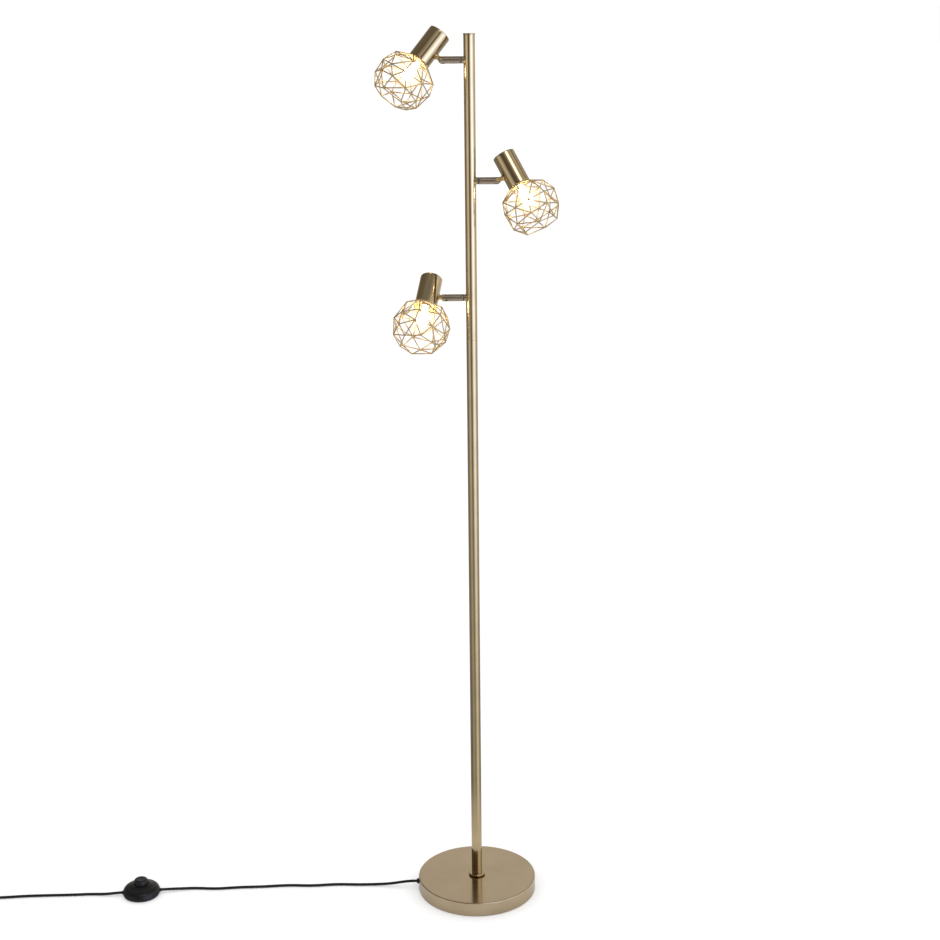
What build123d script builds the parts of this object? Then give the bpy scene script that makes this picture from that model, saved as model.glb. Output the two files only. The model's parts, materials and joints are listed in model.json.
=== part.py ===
"""Floor lamp with three swivelling spot heads in welded wire cages.

Millimetres, +Z up, origin on the floor under the middle of the base. The first and the third arm
point along -X and the second along +X. The supply cord leaves the base along -X, passes a foot
switch and ends in a coil with its plug.
"""

import math
import os

from build123d import *

# ---------------------------------------------------------------- driving dimensions
# how far a cutting shape stands out past what it cuts
CUT_MARGIN = 1.0

# base
BASE_DIAMETER = 215.5
BASE_HEIGHT = 26.5
COVER_WALL = 1.2
COVER_EDGE_RADIUS = 1.6
COVER_LIFT = 0.8
PAD_THICKNESS = 2.0
PAD_MARGIN = 5.0
WEIGHT_CLEARANCE = 1.0
CHANNEL_WIDTH = 9.0
CHANNEL_HEIGHT = 15.5
NUT_POCKET_DIAMETER = 34.0
NUT_POCKET_DEPTH = 11.0
WASHER_DIAMETER = 30.0
WASHER_THICKNESS = 1.6
NUT_ACROSS_FLATS = 17.0
NUT_THICKNESS = 5.0
ROD_DIAMETER = 10.0
ROD_BORE = 6.5
ROD_GRIP = 30.0
ROD_TAIL = 2.0
ROD_HOLE_CLEARANCE = 0.3
TERMINAL_LENGTH = 24.0
TERMINAL_WIDTH = 15.0
TERMINAL_HEIGHT = 12.0
TERMINAL_CLEARANCE = 0.6
TERMINAL_BEVEL = 1.2
TERMINAL_SCREW_DIAMETER = 4.0
TERMINAL_SCREW_DEPTH = 3.0

# foot collar
COLLAR_DIAMETER = 30.0
COLLAR_FOOT_DIAMETER = 21.4
COLLAR_HEIGHT = 4.4
COLLAR_RIM = 0.8
COLLAR_CLEARANCE = 0.1

# pole
LAMP_HEIGHT = 1540.0
POLE_DIAMETER = 19.0
POLE_WALL = 1.2
LOWER_SECTION_LENGTH = 504.5
UPPER_JOINT_BELOW_ARM = 72.0
JOINER_LENGTH = 44.0
JOINER_BORE = 11.0
INSERT_CLEARANCE = 0.05
CAP_DIAMETER = 19.8
CAP_THICKNESS = 2.2
CAP_PLUG_LENGTH = 7.0
CAP_CROWN = 0.7

# arms
ARM_SPACING = 195.0
TOP_ARM_DROP = 42.0
ARM_DIAMETER = 12.0
ARM_WALL = 1.0
SADDLE_LENGTH = 2.7
SADDLE_CLEARANCE = 0.05
FRICTION_RING_DIAMETER = 11.2
FRICTION_RING_LENGTH = 2.4
NIPPLE_DIAMETER = 8.0
NIPPLE_BORE = 5.0
NIPPLE_REACH_IN = 1.6
NIPPLE_FIT = 0.08
ARM_FLANGE = 2.5
ARM_NUT_LENGTH = 3.0
ARM_NUT_GAP = 0.3
ARM_NUT_CLEARANCE = 0.2
CLEVIS_START = 38.0
CLEVIS_PLUG_LENGTH = 8.0
CLEVIS_FIT = 0.03

# knuckle between arm and lamp head
PIVOT_REACH = 45.5
CLEVIS_NOSE = 4.5
CLEVIS_BEVEL_LENGTH = 5.0
CLEVIS_BEVEL_HEIGHT = 4.0
CLEVIS_EDGE = 0.5
TONGUE_THICKNESS = 4.0
TONGUE_SIDE_CLEARANCE = 0.1
TONGUE_EYE_RADIUS = 4.8
TONGUE_HEIGHT = 7.0
TONGUE_EYE_CLEARANCE = 0.5
TONGUE_FOOT_DIAMETER = 10.0
TONGUE_FOOT_THICKNESS = 1.3
TILT_SCREW_DIAMETER = 4.0
TILT_SCREW_HEAD_DIAMETER = 6.4
TILT_SCREW_HEAD_HEIGHT = 1.6
TILT_SCREW_SLOT = 0.9
TILT_SCREW_FIT = 0.05
TILT_SCREW_SEAT_CLEARANCE = 0.1

# lamp head, measured along its own axis from the open mouth upwards
HOLDER_DIAMETER = 38.0
HOLDER_LENGTH = 58.0
HOLDER_WALL = 1.0
HOLDER_EDGE_RADIUS = 1.5
HOLDER_LIP_BEVEL = 0.25
KNUCKLE_BELOW_TOP = 35.0
KNUCKLE_STANDOFF = 9.5
LAMPHOLDER_DIAMETER = 28.0
LAMPHOLDER_FLANGE_DIAMETER = 34.0
LAMPHOLDER_FLANGE_THICKNESS = 3.0
LAMPHOLDER_FLANGE_TAPER = 3.0
LAMPHOLDER_RECESS = 3.0
LAMPHOLDER_BORE = 14.7
LAMPHOLDER_RELIEF = 16.6
LAMPHOLDER_RELIEF_DEPTH = 3.5

# bulb, the common golf-ball shape on a small screw cap
BULB_DIAMETER = 45.0
BULB_LENGTH = 78.0
BULB_BELOW_MOUTH = 30.0
BULB_NECK_DIAMETER = 13.2
BULB_CAP_BEVEL = 0.8
BULB_CAP_DIAMETER = 13.9
BULB_CAP_LENGTH = 27.0
BULB_CAP_SKIRT_DIAMETER = 16.0
BULB_CAP_SKIRT_LENGTH = 3.0
BULB_CAP_CONE = 4.5
BULB_CONTACT_DIAMETER = 6.0
BULB_CONTACT_GAP = 0.1
BULB_FLARE_RADIUS = 9.0

# cage
CAGE_RADIUS = 48.0
CAGE_BELOW_MOUTH = 41.0
CAGE_WIRE = 2.0
CAGE_SEAT_GAP = 0.1
# distance below the cage's middle, number of welds and turn of the first weld, ring by ring
CAGE_RINGS = (
    (-27.5, 7, 45.0),
    (-3.5, 9, 0.0),
    (17.5, 9, 22.0),
    (36.0, 6, 10.0),
)
CAGE_RIM_WELDS = 6
CAGE_RIM_STEPS = 4
CAGE_TURN_WOBBLE = 7.0
CAGE_RISE_WOBBLE = 3.2
CAGE_WOBBLE_STEP = 137.5

# foot switch
SWITCH_TURN = 7.7
SWITCH_CENTRE = (-622.4, -14.2)
SWITCH_DIAMETER = 68.0
SWITCH_FLOOR_DIAMETER = 62.0
SWITCH_SEAM_HEIGHT = 5.5
SWITCH_SHOULDER_HEIGHT = 17.5
SWITCH_SHOULDER_DIAMETER = 46.0
SWITCH_CROWN_HEIGHT = 21.0
SWITCH_WALL = 1.8
SWITCH_INNER_BEVEL = 6.2
SWITCH_BUSHING_REACH = 35.6
SWITCH_BUSHING_DIAMETER = 8.0
SWITCH_BUSHING_TIP_DIAMETER = 6.4
SWITCH_BUSHING_FLANGE = 2.0
SWITCH_BUSHING_CLEARANCE = 0.1
BUTTON_DIAMETER = 25.0
BUTTON_TOP = 31.0
BUTTON_EDGE_RADIUS = 4.0
BUTTON_FLANGE_DIAMETER = 29.0
BUTTON_FLANGE_THICKNESS = 2.0
BUTTON_BORE_CLEARANCE = 0.35
BUTTON_TRAVEL = 3.0
BUTTON_STEM_DIAMETER = 6.0
BUTTON_STEM_CLEARANCE = 0.3
SWITCH_BLOCK_LENGTH = 26.0
SWITCH_BLOCK_WIDTH = 20.0
SWITCH_BLOCK_FLOOR = 1.8
SWITCH_SCREW_CIRCLE = 46.0
SWITCH_SCREW_DIAMETER = 3.0
SWITCH_SCREW_HEAD_DIAMETER = 5.6
SWITCH_SCREW_HEAD_HEIGHT = 0.6
SWITCH_SCREW_RECESS = 0.4
SWITCH_BOSS_DIAMETER = 8.0
SWITCH_SCREW_LENGTH = 10.0

# supply cord
CORD_DIAMETER = 5.0
CORD_EXIT_HEIGHT = 13.0
CORD_LAY = 2.55
CORD_LEAD = 12.0
CORD_BEND_SHARE = 0.45
GLAND_FLANGE_DIAMETER = 11.4
GLAND_FLANGE_THICKNESS = 1.8
GLAND_NECK_DIAMETER = 8.6
GLAND_REACH = 4.6
GLAND_BEVEL = 1.2
GLAND_BODY_DIAMETER = 8.0
GLAND_BODY_CLEARANCE = 0.1
GLAND_COLLAR_THICKNESS = 1.4
COIL_HALVES_IN = 6
COIL_PITCH = 5.6
COIL_MID_DIAMETER = 58.8
COIL_TAIL = 32.0
COIL_LAYER_RISE = 5.5
COIL_CORD_SIDES = 8
PLUG_LENGTH = 36.0
PLUG_WIDTH = 26.0
PLUG_REAR_WIDTH = 12.0
PLUG_THICKNESS = 13.7
PLUG_TAPER = 14.0
PLUG_EDGE = 2.5
PLUG_FACE_BEVEL = 1.25
PIN_DIAMETER = 4.0
PIN_LENGTH = 19.0
PIN_SPACING = 18.6
PIN_TIP_BEVEL = 0.8

# lamp heads: side of the pole (+1 is +X), outward tilt of the mouth, turn towards -Y about the
# arm, and turn of the cage about the holder's axis, from the top of the pole down
HEADS = (
    (-1, 37.0, 21.0, 300.0),
    (1, 27.0, 22.0, 307.0),
    (-1, 10.0, 44.0, 94.0),
)

# ---------------------------------------------------------------- worked-out sizes
base_radius = BASE_DIAMETER / 2
cover_inner_radius = base_radius - COVER_WALL
cover_inner_top = BASE_HEIGHT - COVER_WALL
weight_radius = cover_inner_radius - WEIGHT_CLEARANCE
nut_pocket_top = PAD_THICKNESS + NUT_POCKET_DEPTH
pole_radius = POLE_DIAMETER / 2
pole_bore_radius = pole_radius - POLE_WALL
insert_radius = pole_bore_radius - INSERT_CLEARANCE
pole_top = LAMP_HEIGHT - CAP_THICKNESS
rod_radius = ROD_DIAMETER / 2
rod_hole_radius = rod_radius + ROD_HOLE_CLEARANCE

arm_heights = [LAMP_HEIGHT - TOP_ARM_DROP - i * ARM_SPACING for i in range(len(HEADS))]
# the arms all stand on the top section of the pole
upper_joint_height = arm_heights[-1] - UPPER_JOINT_BELOW_ARM
lower_joint_height = BASE_HEIGHT + LOWER_SECTION_LENGTH
arm_radius = ARM_DIAMETER / 2
arm_bore_radius = arm_radius - ARM_WALL
saddle_end = pole_radius + SADDLE_LENGTH
arm_start = saddle_end + FRICTION_RING_LENGTH
arm_flange_end = arm_start + ARM_FLANGE
nipple_end = arm_flange_end + ARM_NUT_GAP + ARM_NUT_LENGTH
nipple_radius = NIPPLE_DIAMETER / 2
clevis_end = PIVOT_REACH + CLEVIS_NOSE
slot_width = TONGUE_THICKNESS + 2 * TONGUE_SIDE_CLEARANCE

holder_radius = HOLDER_DIAMETER / 2
holder_bore_radius = holder_radius - HOLDER_WALL
knuckle_height = HOLDER_LENGTH - KNUCKLE_BELOW_TOP
holder_offset = holder_radius + KNUCKLE_STANDOFF
wire_radius = CAGE_WIRE / 2
cage_rim_radius = holder_radius - HOLDER_WALL / 2
cage_rim_drop = wire_radius + CAGE_SEAT_GAP
bulb_radius = BULB_DIAMETER / 2
bulb_contact_height = BULB_LENGTH - BULB_BELOW_MOUTH - bulb_radius
bulb_skirt_height = bulb_contact_height - BULB_CAP_LENGTH
cord_radius = CORD_DIAMETER / 2
exit_x = -base_radius - GLAND_REACH


def revolved(points):
    """Return the solid of revolution about Z of a closed (radius, height) polygon."""
    with BuildPart() as turned:
        with BuildSketch(Plane.XZ):
            with BuildLine():
                Polyline(*points, close=True)
            make_face()
        revolve(axis=Axis.Z)
    return turned.part


def write(shape, name):
    """Label a finished piece and write it as its own STEP file."""
    shape.label = name
    export_step(shape, f"parts/{name}.step")


def write_group(shapes, name):
    """Write identical loose pieces as one file of separate solids."""
    write(Compound(children=list(shapes)), name)


os.makedirs("parts", exist_ok=True)

# ---------------------------------------------------------------- base
with BuildPart() as base_pad:
    with BuildSketch():
        Circle(cover_inner_radius - PAD_MARGIN)
        Circle(NUT_POCKET_DIAMETER / 2, mode=Mode.SUBTRACT)
    extrude(amount=PAD_THICKNESS)
write(base_pad.part, "base_pad")

with BuildPart() as base_weight:
    with BuildSketch(Plane.XY.offset(PAD_THICKNESS)):
        Circle(weight_radius)
    extrude(amount=cover_inner_top - PAD_THICKNESS)
    # pocket for the nut, then the groove for the cord and the terminal block
    with BuildSketch(Plane.XY.offset(PAD_THICKNESS)):
        Circle(NUT_POCKET_DIAMETER / 2)
    extrude(amount=NUT_POCKET_DEPTH, mode=Mode.SUBTRACT)
    with BuildSketch(Plane.XY.offset(PAD_THICKNESS)):
        with Locations((-weight_radius / 2, 0)):
            Rectangle(weight_radius, CHANNEL_WIDTH)
        with Locations((-NUT_POCKET_DIAMETER / 2 - TERMINAL_LENGTH / 2, 0)):
            Rectangle(TERMINAL_LENGTH + 2 * TERMINAL_CLEARANCE, TERMINAL_WIDTH + 2 * TERMINAL_CLEARANCE)
    extrude(amount=CHANNEL_HEIGHT, mode=Mode.SUBTRACT)
    with BuildSketch(Plane.XY.offset(PAD_THICKNESS)):
        Circle(rod_hole_radius)
    extrude(amount=BASE_HEIGHT, mode=Mode.SUBTRACT)
write(base_weight.part, "base_weight")

with BuildPart() as base_cover:
    with BuildSketch(Plane.XY.offset(COVER_LIFT)):
        Circle(base_radius)
    extrude(amount=BASE_HEIGHT - COVER_LIFT)
    fillet(base_cover.faces().sort_by(Axis.Z)[-1].edges(), radius=COVER_EDGE_RADIUS)
    with BuildSketch(Plane.XY.offset(COVER_LIFT)):
        Circle(cover_inner_radius)
    extrude(amount=cover_inner_top - COVER_LIFT, mode=Mode.SUBTRACT)
    with BuildSketch(Plane.XY.offset(COVER_LIFT)):
        Circle(rod_hole_radius)
    extrude(amount=BASE_HEIGHT, mode=Mode.SUBTRACT)
    # cord hole through the wall
    with BuildSketch(Plane((-base_radius - CUT_MARGIN, 0, CORD_EXIT_HEIGHT), z_dir=(1, 0, 0))):
        Circle(GLAND_BODY_DIAMETER / 2 + GLAND_BODY_CLEARANCE)
    extrude(amount=COVER_WALL + 2 * CUT_MARGIN, mode=Mode.SUBTRACT)
write(base_cover.part, "base_cover")

washer_bottom = nut_pocket_top - WASHER_THICKNESS
nut_bottom = washer_bottom - NUT_THICKNESS
with BuildPart() as base_washer:
    with BuildSketch(Plane.XY.offset(washer_bottom)):
        Circle(WASHER_DIAMETER / 2)
        Circle(rod_radius + INSERT_CLEARANCE, mode=Mode.SUBTRACT)
    extrude(amount=WASHER_THICKNESS)
write(base_washer.part, "base_washer")

with BuildPart() as base_nut:
    with BuildSketch(Plane.XY.offset(nut_bottom)):
        RegularPolygon(NUT_ACROSS_FLATS / 2, 6, major_radius=False)
        Circle(rod_radius + INSERT_CLEARANCE, mode=Mode.SUBTRACT)
    extrude(amount=NUT_THICKNESS)
write(base_nut.part, "base_nut")

with BuildPart() as base_rod:
    with BuildSketch(Plane.XY.offset(nut_bottom - ROD_TAIL)):
        Circle(rod_radius)
        Circle(ROD_BORE / 2, mode=Mode.SUBTRACT)
    extrude(amount=BASE_HEIGHT + ROD_GRIP - nut_bottom + ROD_TAIL)
write(base_rod.part, "base_threaded_rod")

terminal_end = -NUT_POCKET_DIAMETER / 2
with BuildPart() as terminal_block:
    with BuildSketch(Plane.XY.offset(PAD_THICKNESS)):
        with Locations((terminal_end - TERMINAL_LENGTH / 2, 0)):
            Rectangle(TERMINAL_LENGTH, TERMINAL_WIDTH)
    extrude(amount=TERMINAL_HEIGHT)
    chamfer(terminal_block.edges().filter_by(Axis.Z), length=TERMINAL_BEVEL)
    block_top = PAD_THICKNESS + TERMINAL_HEIGHT
    with BuildSketch(Plane.XY.offset(block_top)):
        with Locations((terminal_end - TERMINAL_LENGTH / 2, 0)):
            with GridLocations(TERMINAL_LENGTH / 2, TERMINAL_WIDTH / 2, 2, 2):
                Circle(TERMINAL_SCREW_DIAMETER / 2)
    extrude(amount=-TERMINAL_SCREW_DEPTH, mode=Mode.SUBTRACT)
write(terminal_block.part, "terminal_block")

with BuildPart() as foot_collar:
    with BuildSketch(Plane.XZ):
        with BuildLine():
            Polyline(
                (pole_radius + COLLAR_CLEARANCE, BASE_HEIGHT),
                (COLLAR_FOOT_DIAMETER / 2, BASE_HEIGHT),
                (COLLAR_DIAMETER / 2, BASE_HEIGHT + COLLAR_HEIGHT - 2 * COLLAR_RIM),
                (COLLAR_DIAMETER / 2, BASE_HEIGHT + COLLAR_HEIGHT - COLLAR_RIM),
                (COLLAR_DIAMETER / 2 - COLLAR_RIM, BASE_HEIGHT + COLLAR_HEIGHT),
                (pole_radius + COLLAR_CLEARANCE, BASE_HEIGHT + COLLAR_HEIGHT),
                close=True,
            )
        make_face()
    revolve(axis=Axis.Z)
write(foot_collar.part, "foot_collar")

# ---------------------------------------------------------------- pole
pole_sections = {
    "pole_lower": (BASE_HEIGHT, lower_joint_height),
    "pole_middle": (lower_joint_height, upper_joint_height),
    "pole_upper": (upper_joint_height, pole_top),
}
for section_name, (section_start, section_end) in pole_sections.items():
    with BuildPart() as pole_section:
        with BuildSketch(Plane.XY.offset(section_start)):
            Circle(pole_radius)
            Circle(pole_bore_radius, mode=Mode.SUBTRACT)
        extrude(amount=section_end - section_start)
        for (side, _, _, _), arm_height in zip(HEADS, arm_heights):
            if section_start < arm_height < section_end:
                with BuildSketch(Plane((0, 0, arm_height), z_dir=(side, 0, 0))):
                    Circle(nipple_radius + INSERT_CLEARANCE)
                extrude(amount=POLE_DIAMETER, mode=Mode.SUBTRACT)
    write(pole_section.part, section_name)

pole_joiners = []
for joint_height in (lower_joint_height, upper_joint_height):
    with BuildPart() as joiner:
        with BuildSketch(Plane.XY.offset(joint_height - JOINER_LENGTH / 2)):
            Circle(insert_radius)
            Circle(JOINER_BORE / 2, mode=Mode.SUBTRACT)
        extrude(amount=JOINER_LENGTH)
    pole_joiners.append(joiner.part)
write_group(pole_joiners, "pole_joiners")

with BuildPart() as foot_insert:
    with BuildSketch(Plane.XY.offset(BASE_HEIGHT)):
        Circle(insert_radius)
        Circle(rod_radius + INSERT_CLEARANCE, mode=Mode.SUBTRACT)
    extrude(amount=ROD_GRIP)
write(foot_insert.part, "pole_foot_insert")

with BuildPart() as pole_cap:
    with BuildSketch(Plane.XY.offset(pole_top - CAP_PLUG_LENGTH)):
        Circle(insert_radius)
    extrude(amount=CAP_PLUG_LENGTH)
    with BuildSketch(Plane.XY.offset(pole_top)):
        Circle(CAP_DIAMETER / 2)
    extrude(amount=CAP_THICKNESS)
    chamfer(pole_cap.faces().sort_by(Axis.Z)[-1].edges(), length=CAP_CROWN)
write(pole_cap.part, "pole_top_cap")


# ---------------------------------------------------------------- frames of arms and heads
def arm_frame(number):
    """Frame on arm's axis at the pole's axis: +X outwards, swivelled as the arm stands."""
    side, _, swivel, _ = HEADS[number]
    foot = Location(Plane((0, 0, arm_heights[number]), x_dir=(side, 0, 0), z_dir=(0, 0, 1)))
    return foot * Location((0, 0, 0), (-side * swivel, 0, 0))


def head_frame(number):
    """Frame at the middle of the holder's mouth: +Z up the holder, +X away from the arm."""
    tilt = HEADS[number][1]
    pivot = arm_frame(number) * Location((PIVOT_REACH, 0, 0), (0, -tilt, 0))
    return pivot * Location((holder_offset, 0, -knuckle_height))


# ---------------------------------------------------------------- fixed pieces of the three arms
# drawn on an arm that points along +X
with BuildPart() as arm_nipple:
    with BuildSketch(Plane.YZ.offset(pole_bore_radius - NIPPLE_REACH_IN)):
        Circle(nipple_radius)
        Circle(NIPPLE_BORE / 2, mode=Mode.SUBTRACT)
    extrude(amount=nipple_end - pole_bore_radius + NIPPLE_REACH_IN)

with BuildPart() as arm_saddle:
    with BuildSketch(Plane.YZ.offset(saddle_end)):
        Circle(arm_radius)
        Circle(nipple_radius + INSERT_CLEARANCE, mode=Mode.SUBTRACT)
    extrude(amount=-saddle_end)
    with BuildSketch(Plane.XY.offset(-ARM_DIAMETER)):
        Circle(pole_radius + SADDLE_CLEARANCE)
    extrude(amount=2 * ARM_DIAMETER, mode=Mode.SUBTRACT)

with BuildPart() as friction_ring:
    with BuildSketch(Plane.YZ.offset(saddle_end)):
        Circle(FRICTION_RING_DIAMETER / 2)
        Circle(nipple_radius + INSERT_CLEARANCE, mode=Mode.SUBTRACT)
    extrude(amount=FRICTION_RING_LENGTH)

with BuildPart() as arm_nut:
    with BuildSketch(Plane.YZ.offset(arm_flange_end + ARM_NUT_GAP)):
        Circle(arm_bore_radius - ARM_NUT_CLEARANCE)
        Circle(nipple_radius + INSERT_CLEARANCE, mode=Mode.SUBTRACT)
    extrude(amount=ARM_NUT_LENGTH)

fixed_arm_pieces = {
    "arm_nipples": arm_nipple.part,
    "arm_saddles": arm_saddle.part,
    "arm_friction_rings": friction_ring.part,
    "arm_ring_nuts": arm_nut.part,
}
for group_name, piece in fixed_arm_pieces.items():
    placed = []
    for (side, _, _, _), arm_height in zip(HEADS, arm_heights):
        seat = Location(Plane((0, 0, arm_height), x_dir=(side, 0, 0), z_dir=(0, 0, 1)))
        placed.append(piece.moved(seat))
    write_group(placed, group_name)

# ---------------------------------------------------------------- swivelling arm
with BuildPart() as arm_tube:
    with BuildSketch(Plane.YZ.offset(arm_start)):
        Circle(arm_radius)
        Circle(nipple_radius + NIPPLE_FIT, mode=Mode.SUBTRACT)
    extrude(amount=CLEVIS_START - arm_start)
    with BuildSketch(Plane.YZ.offset(arm_flange_end)):
        Circle(arm_bore_radius)
    extrude(amount=CLEVIS_START - arm_flange_end, mode=Mode.SUBTRACT)

with BuildPart() as arm_clevis:
    with BuildSketch(Plane.YZ.offset(CLEVIS_START)):
        Circle(arm_radius)
    extrude(amount=clevis_end - CLEVIS_START)
    chamfer(arm_clevis.faces().sort_by(Axis.X)[-1].edges(), length=CLEVIS_EDGE)
    with BuildSketch(Plane.YZ.offset(CLEVIS_START)):
        Circle(arm_bore_radius - CLEVIS_FIT)
    extrude(amount=-CLEVIS_PLUG_LENGTH)
    # slot for the tongue, open to the nose, the top and the underside
    with BuildSketch(Plane.XZ.offset(-slot_width / 2)):
        with BuildLine():
            slot_floor = PIVOT_REACH - TONGUE_EYE_RADIUS - TONGUE_EYE_CLEARANCE
            Polyline(
                (slot_floor, -ARM_DIAMETER),
                (clevis_end + CUT_MARGIN, -ARM_DIAMETER),
                (clevis_end + CUT_MARGIN, ARM_DIAMETER),
                (slot_floor, ARM_DIAMETER),
                close=True,
            )
        make_face()
    extrude(amount=slot_width, mode=Mode.SUBTRACT)
    # bevel under the nose
    with BuildSketch(Plane.XZ.offset(-ARM_DIAMETER)):
        with BuildLine():
            Polyline(
                (clevis_end - CLEVIS_BEVEL_LENGTH, -arm_radius),
                (clevis_end, -arm_radius + CLEVIS_BEVEL_HEIGHT),
                (clevis_end + CUT_MARGIN, -arm_radius + CLEVIS_BEVEL_HEIGHT),
                (clevis_end + CUT_MARGIN, -arm_radius - CUT_MARGIN),
                (clevis_end - CLEVIS_BEVEL_LENGTH, -arm_radius - CUT_MARGIN),
                close=True,
            )
        make_face()
    extrude(amount=2 * ARM_DIAMETER, mode=Mode.SUBTRACT)
    # pivot hole and the seat of the screw's head
    with BuildSketch(Plane.XZ.offset(-ARM_DIAMETER)):
        with Locations((PIVOT_REACH, 0)):
            Circle(TILT_SCREW_DIAMETER / 2 + INSERT_CLEARANCE)
    extrude(amount=2 * ARM_DIAMETER, mode=Mode.SUBTRACT)
    with BuildSketch(Plane.XZ.offset(arm_radius - TILT_SCREW_HEAD_HEIGHT)):
        with Locations((PIVOT_REACH, 0)):
            Circle(TILT_SCREW_HEAD_DIAMETER / 2 + TILT_SCREW_SEAT_CLEARANCE)
    extrude(amount=ARM_DIAMETER, mode=Mode.SUBTRACT)

with BuildPart() as tilt_screw:
    with BuildSketch(Plane.XZ.offset(-arm_radius + TILT_SCREW_HEAD_HEIGHT)):
        with Locations((PIVOT_REACH, 0)):
            Circle(TILT_SCREW_DIAMETER / 2)
    extrude(amount=2 * (arm_radius - TILT_SCREW_HEAD_HEIGHT))
    with BuildSketch(Plane.XZ.offset(arm_radius - TILT_SCREW_HEAD_HEIGHT)):
        with Locations((PIVOT_REACH, 0)):
            Circle(TILT_SCREW_HEAD_DIAMETER / 2)
    extrude(amount=TILT_SCREW_HEAD_HEIGHT)
    with BuildSketch(Plane.XZ.offset(arm_radius - TILT_SCREW_SLOT)):
        with Locations((PIVOT_REACH, 0)):
            Rectangle(TILT_SCREW_HEAD_DIAMETER + CUT_MARGIN, TILT_SCREW_SLOT)
    extrude(amount=TILT_SCREW_SLOT, mode=Mode.SUBTRACT)

# ---------------------------------------------------------------- lamp head, in its own frame
pivot_x = -holder_offset
with BuildPart() as tongue:
    with BuildSketch(Plane.XZ.offset(-TONGUE_THICKNESS / 2)):
        with Locations((pivot_x, knuckle_height)):
            Circle(TONGUE_EYE_RADIUS)
        with Locations((pivot_x + KNUCKLE_STANDOFF / 2, knuckle_height)):
            Rectangle(KNUCKLE_STANDOFF, TONGUE_HEIGHT)
        with Locations((pivot_x, knuckle_height)):
            Circle(TILT_SCREW_DIAMETER / 2 + TILT_SCREW_FIT, mode=Mode.SUBTRACT)
    extrude(amount=TONGUE_THICKNESS)
    foot_plane = Plane((-holder_radius - TONGUE_FOOT_THICKNESS, 0, knuckle_height), z_dir=(1, 0, 0))
    with BuildSketch(foot_plane):
        Circle(TONGUE_FOOT_DIAMETER / 2)
    extrude(amount=TONGUE_FOOT_THICKNESS + HOLDER_WALL)
    with BuildSketch(Plane.XY):
        Circle(holder_radius)
    extrude(amount=HOLDER_LENGTH, mode=Mode.SUBTRACT)

with BuildPart() as holder:
    with BuildSketch():
        Circle(holder_radius)
    extrude(amount=HOLDER_LENGTH)
    fillet(holder.faces().sort_by(Axis.Z)[-1].edges(), radius=HOLDER_EDGE_RADIUS)
    with BuildSketch():
        Circle(holder_bore_radius)
    extrude(amount=HOLDER_LENGTH - HOLDER_WALL, mode=Mode.SUBTRACT)
    chamfer(holder.faces().sort_by(Axis.Z)[0].edges(), length=HOLDER_LIP_BEVEL)

holder_inner_top = HOLDER_LENGTH - HOLDER_WALL
flange_bottom = holder_inner_top - LAMPHOLDER_FLANGE_THICKNESS
lampholder = revolved(
    [
        (0, holder_inner_top),
        (LAMPHOLDER_FLANGE_DIAMETER / 2, holder_inner_top),
        (LAMPHOLDER_FLANGE_DIAMETER / 2, flange_bottom),
        (LAMPHOLDER_DIAMETER / 2, flange_bottom - LAMPHOLDER_FLANGE_TAPER),
        (LAMPHOLDER_DIAMETER / 2, LAMPHOLDER_RECESS),
        (LAMPHOLDER_RELIEF / 2, LAMPHOLDER_RECESS),
        (LAMPHOLDER_RELIEF / 2, LAMPHOLDER_RECESS + LAMPHOLDER_RELIEF_DEPTH),
        (LAMPHOLDER_BORE / 2, LAMPHOLDER_RECESS + LAMPHOLDER_RELIEF_DEPTH),
        (LAMPHOLDER_BORE / 2, bulb_contact_height + BULB_CONTACT_GAP),
        (0, bulb_contact_height + BULB_CONTACT_GAP),
    ]
)

cap_shoulder = bulb_contact_height - BULB_CAP_CONE
skirt_top = bulb_skirt_height + BULB_CAP_SKIRT_LENGTH
bulb_cap = revolved(
    [
        (0, bulb_contact_height),
        (BULB_CONTACT_DIAMETER / 2, bulb_contact_height),
        (BULB_CAP_DIAMETER / 2, cap_shoulder),
        (BULB_CAP_DIAMETER / 2, skirt_top),
        (BULB_CAP_SKIRT_DIAMETER / 2, skirt_top - BULB_CAP_BEVEL),
        (BULB_CAP_SKIRT_DIAMETER / 2, bulb_skirt_height),
        (0, bulb_skirt_height),
    ]
)

# the flare between neck and ball touches both, so its middle lies where both are one radius away
flare_reach = bulb_radius + BULB_FLARE_RADIUS
flare_x = BULB_NECK_DIAMETER / 2 + BULB_FLARE_RADIUS
flare_z = -BULB_BELOW_MOUTH + math.sqrt(flare_reach**2 - flare_x**2)
ball_share = bulb_radius / flare_reach
flare_end = (flare_x * ball_share, -BULB_BELOW_MOUTH + (flare_z + BULB_BELOW_MOUTH) * ball_share)
with BuildPart() as bulb_globe:
    with BuildSketch(Plane.XZ):
        with BuildLine():
            neck = (BULB_NECK_DIAMETER / 2, flare_z)
            ball_foot = (0, -BULB_BELOW_MOUTH - bulb_radius)
            neck_line = Line((BULB_NECK_DIAMETER / 2, bulb_skirt_height), neck)
            TangentArc(neck, flare_end, tangent=(0, -1))
            ThreePointArc(flare_end, (bulb_radius, -BULB_BELOW_MOUTH), ball_foot)
            Polyline(ball_foot, (0, bulb_skirt_height), neck_line @ 0)
        make_face()
    revolve(axis=Axis.Z)


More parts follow.
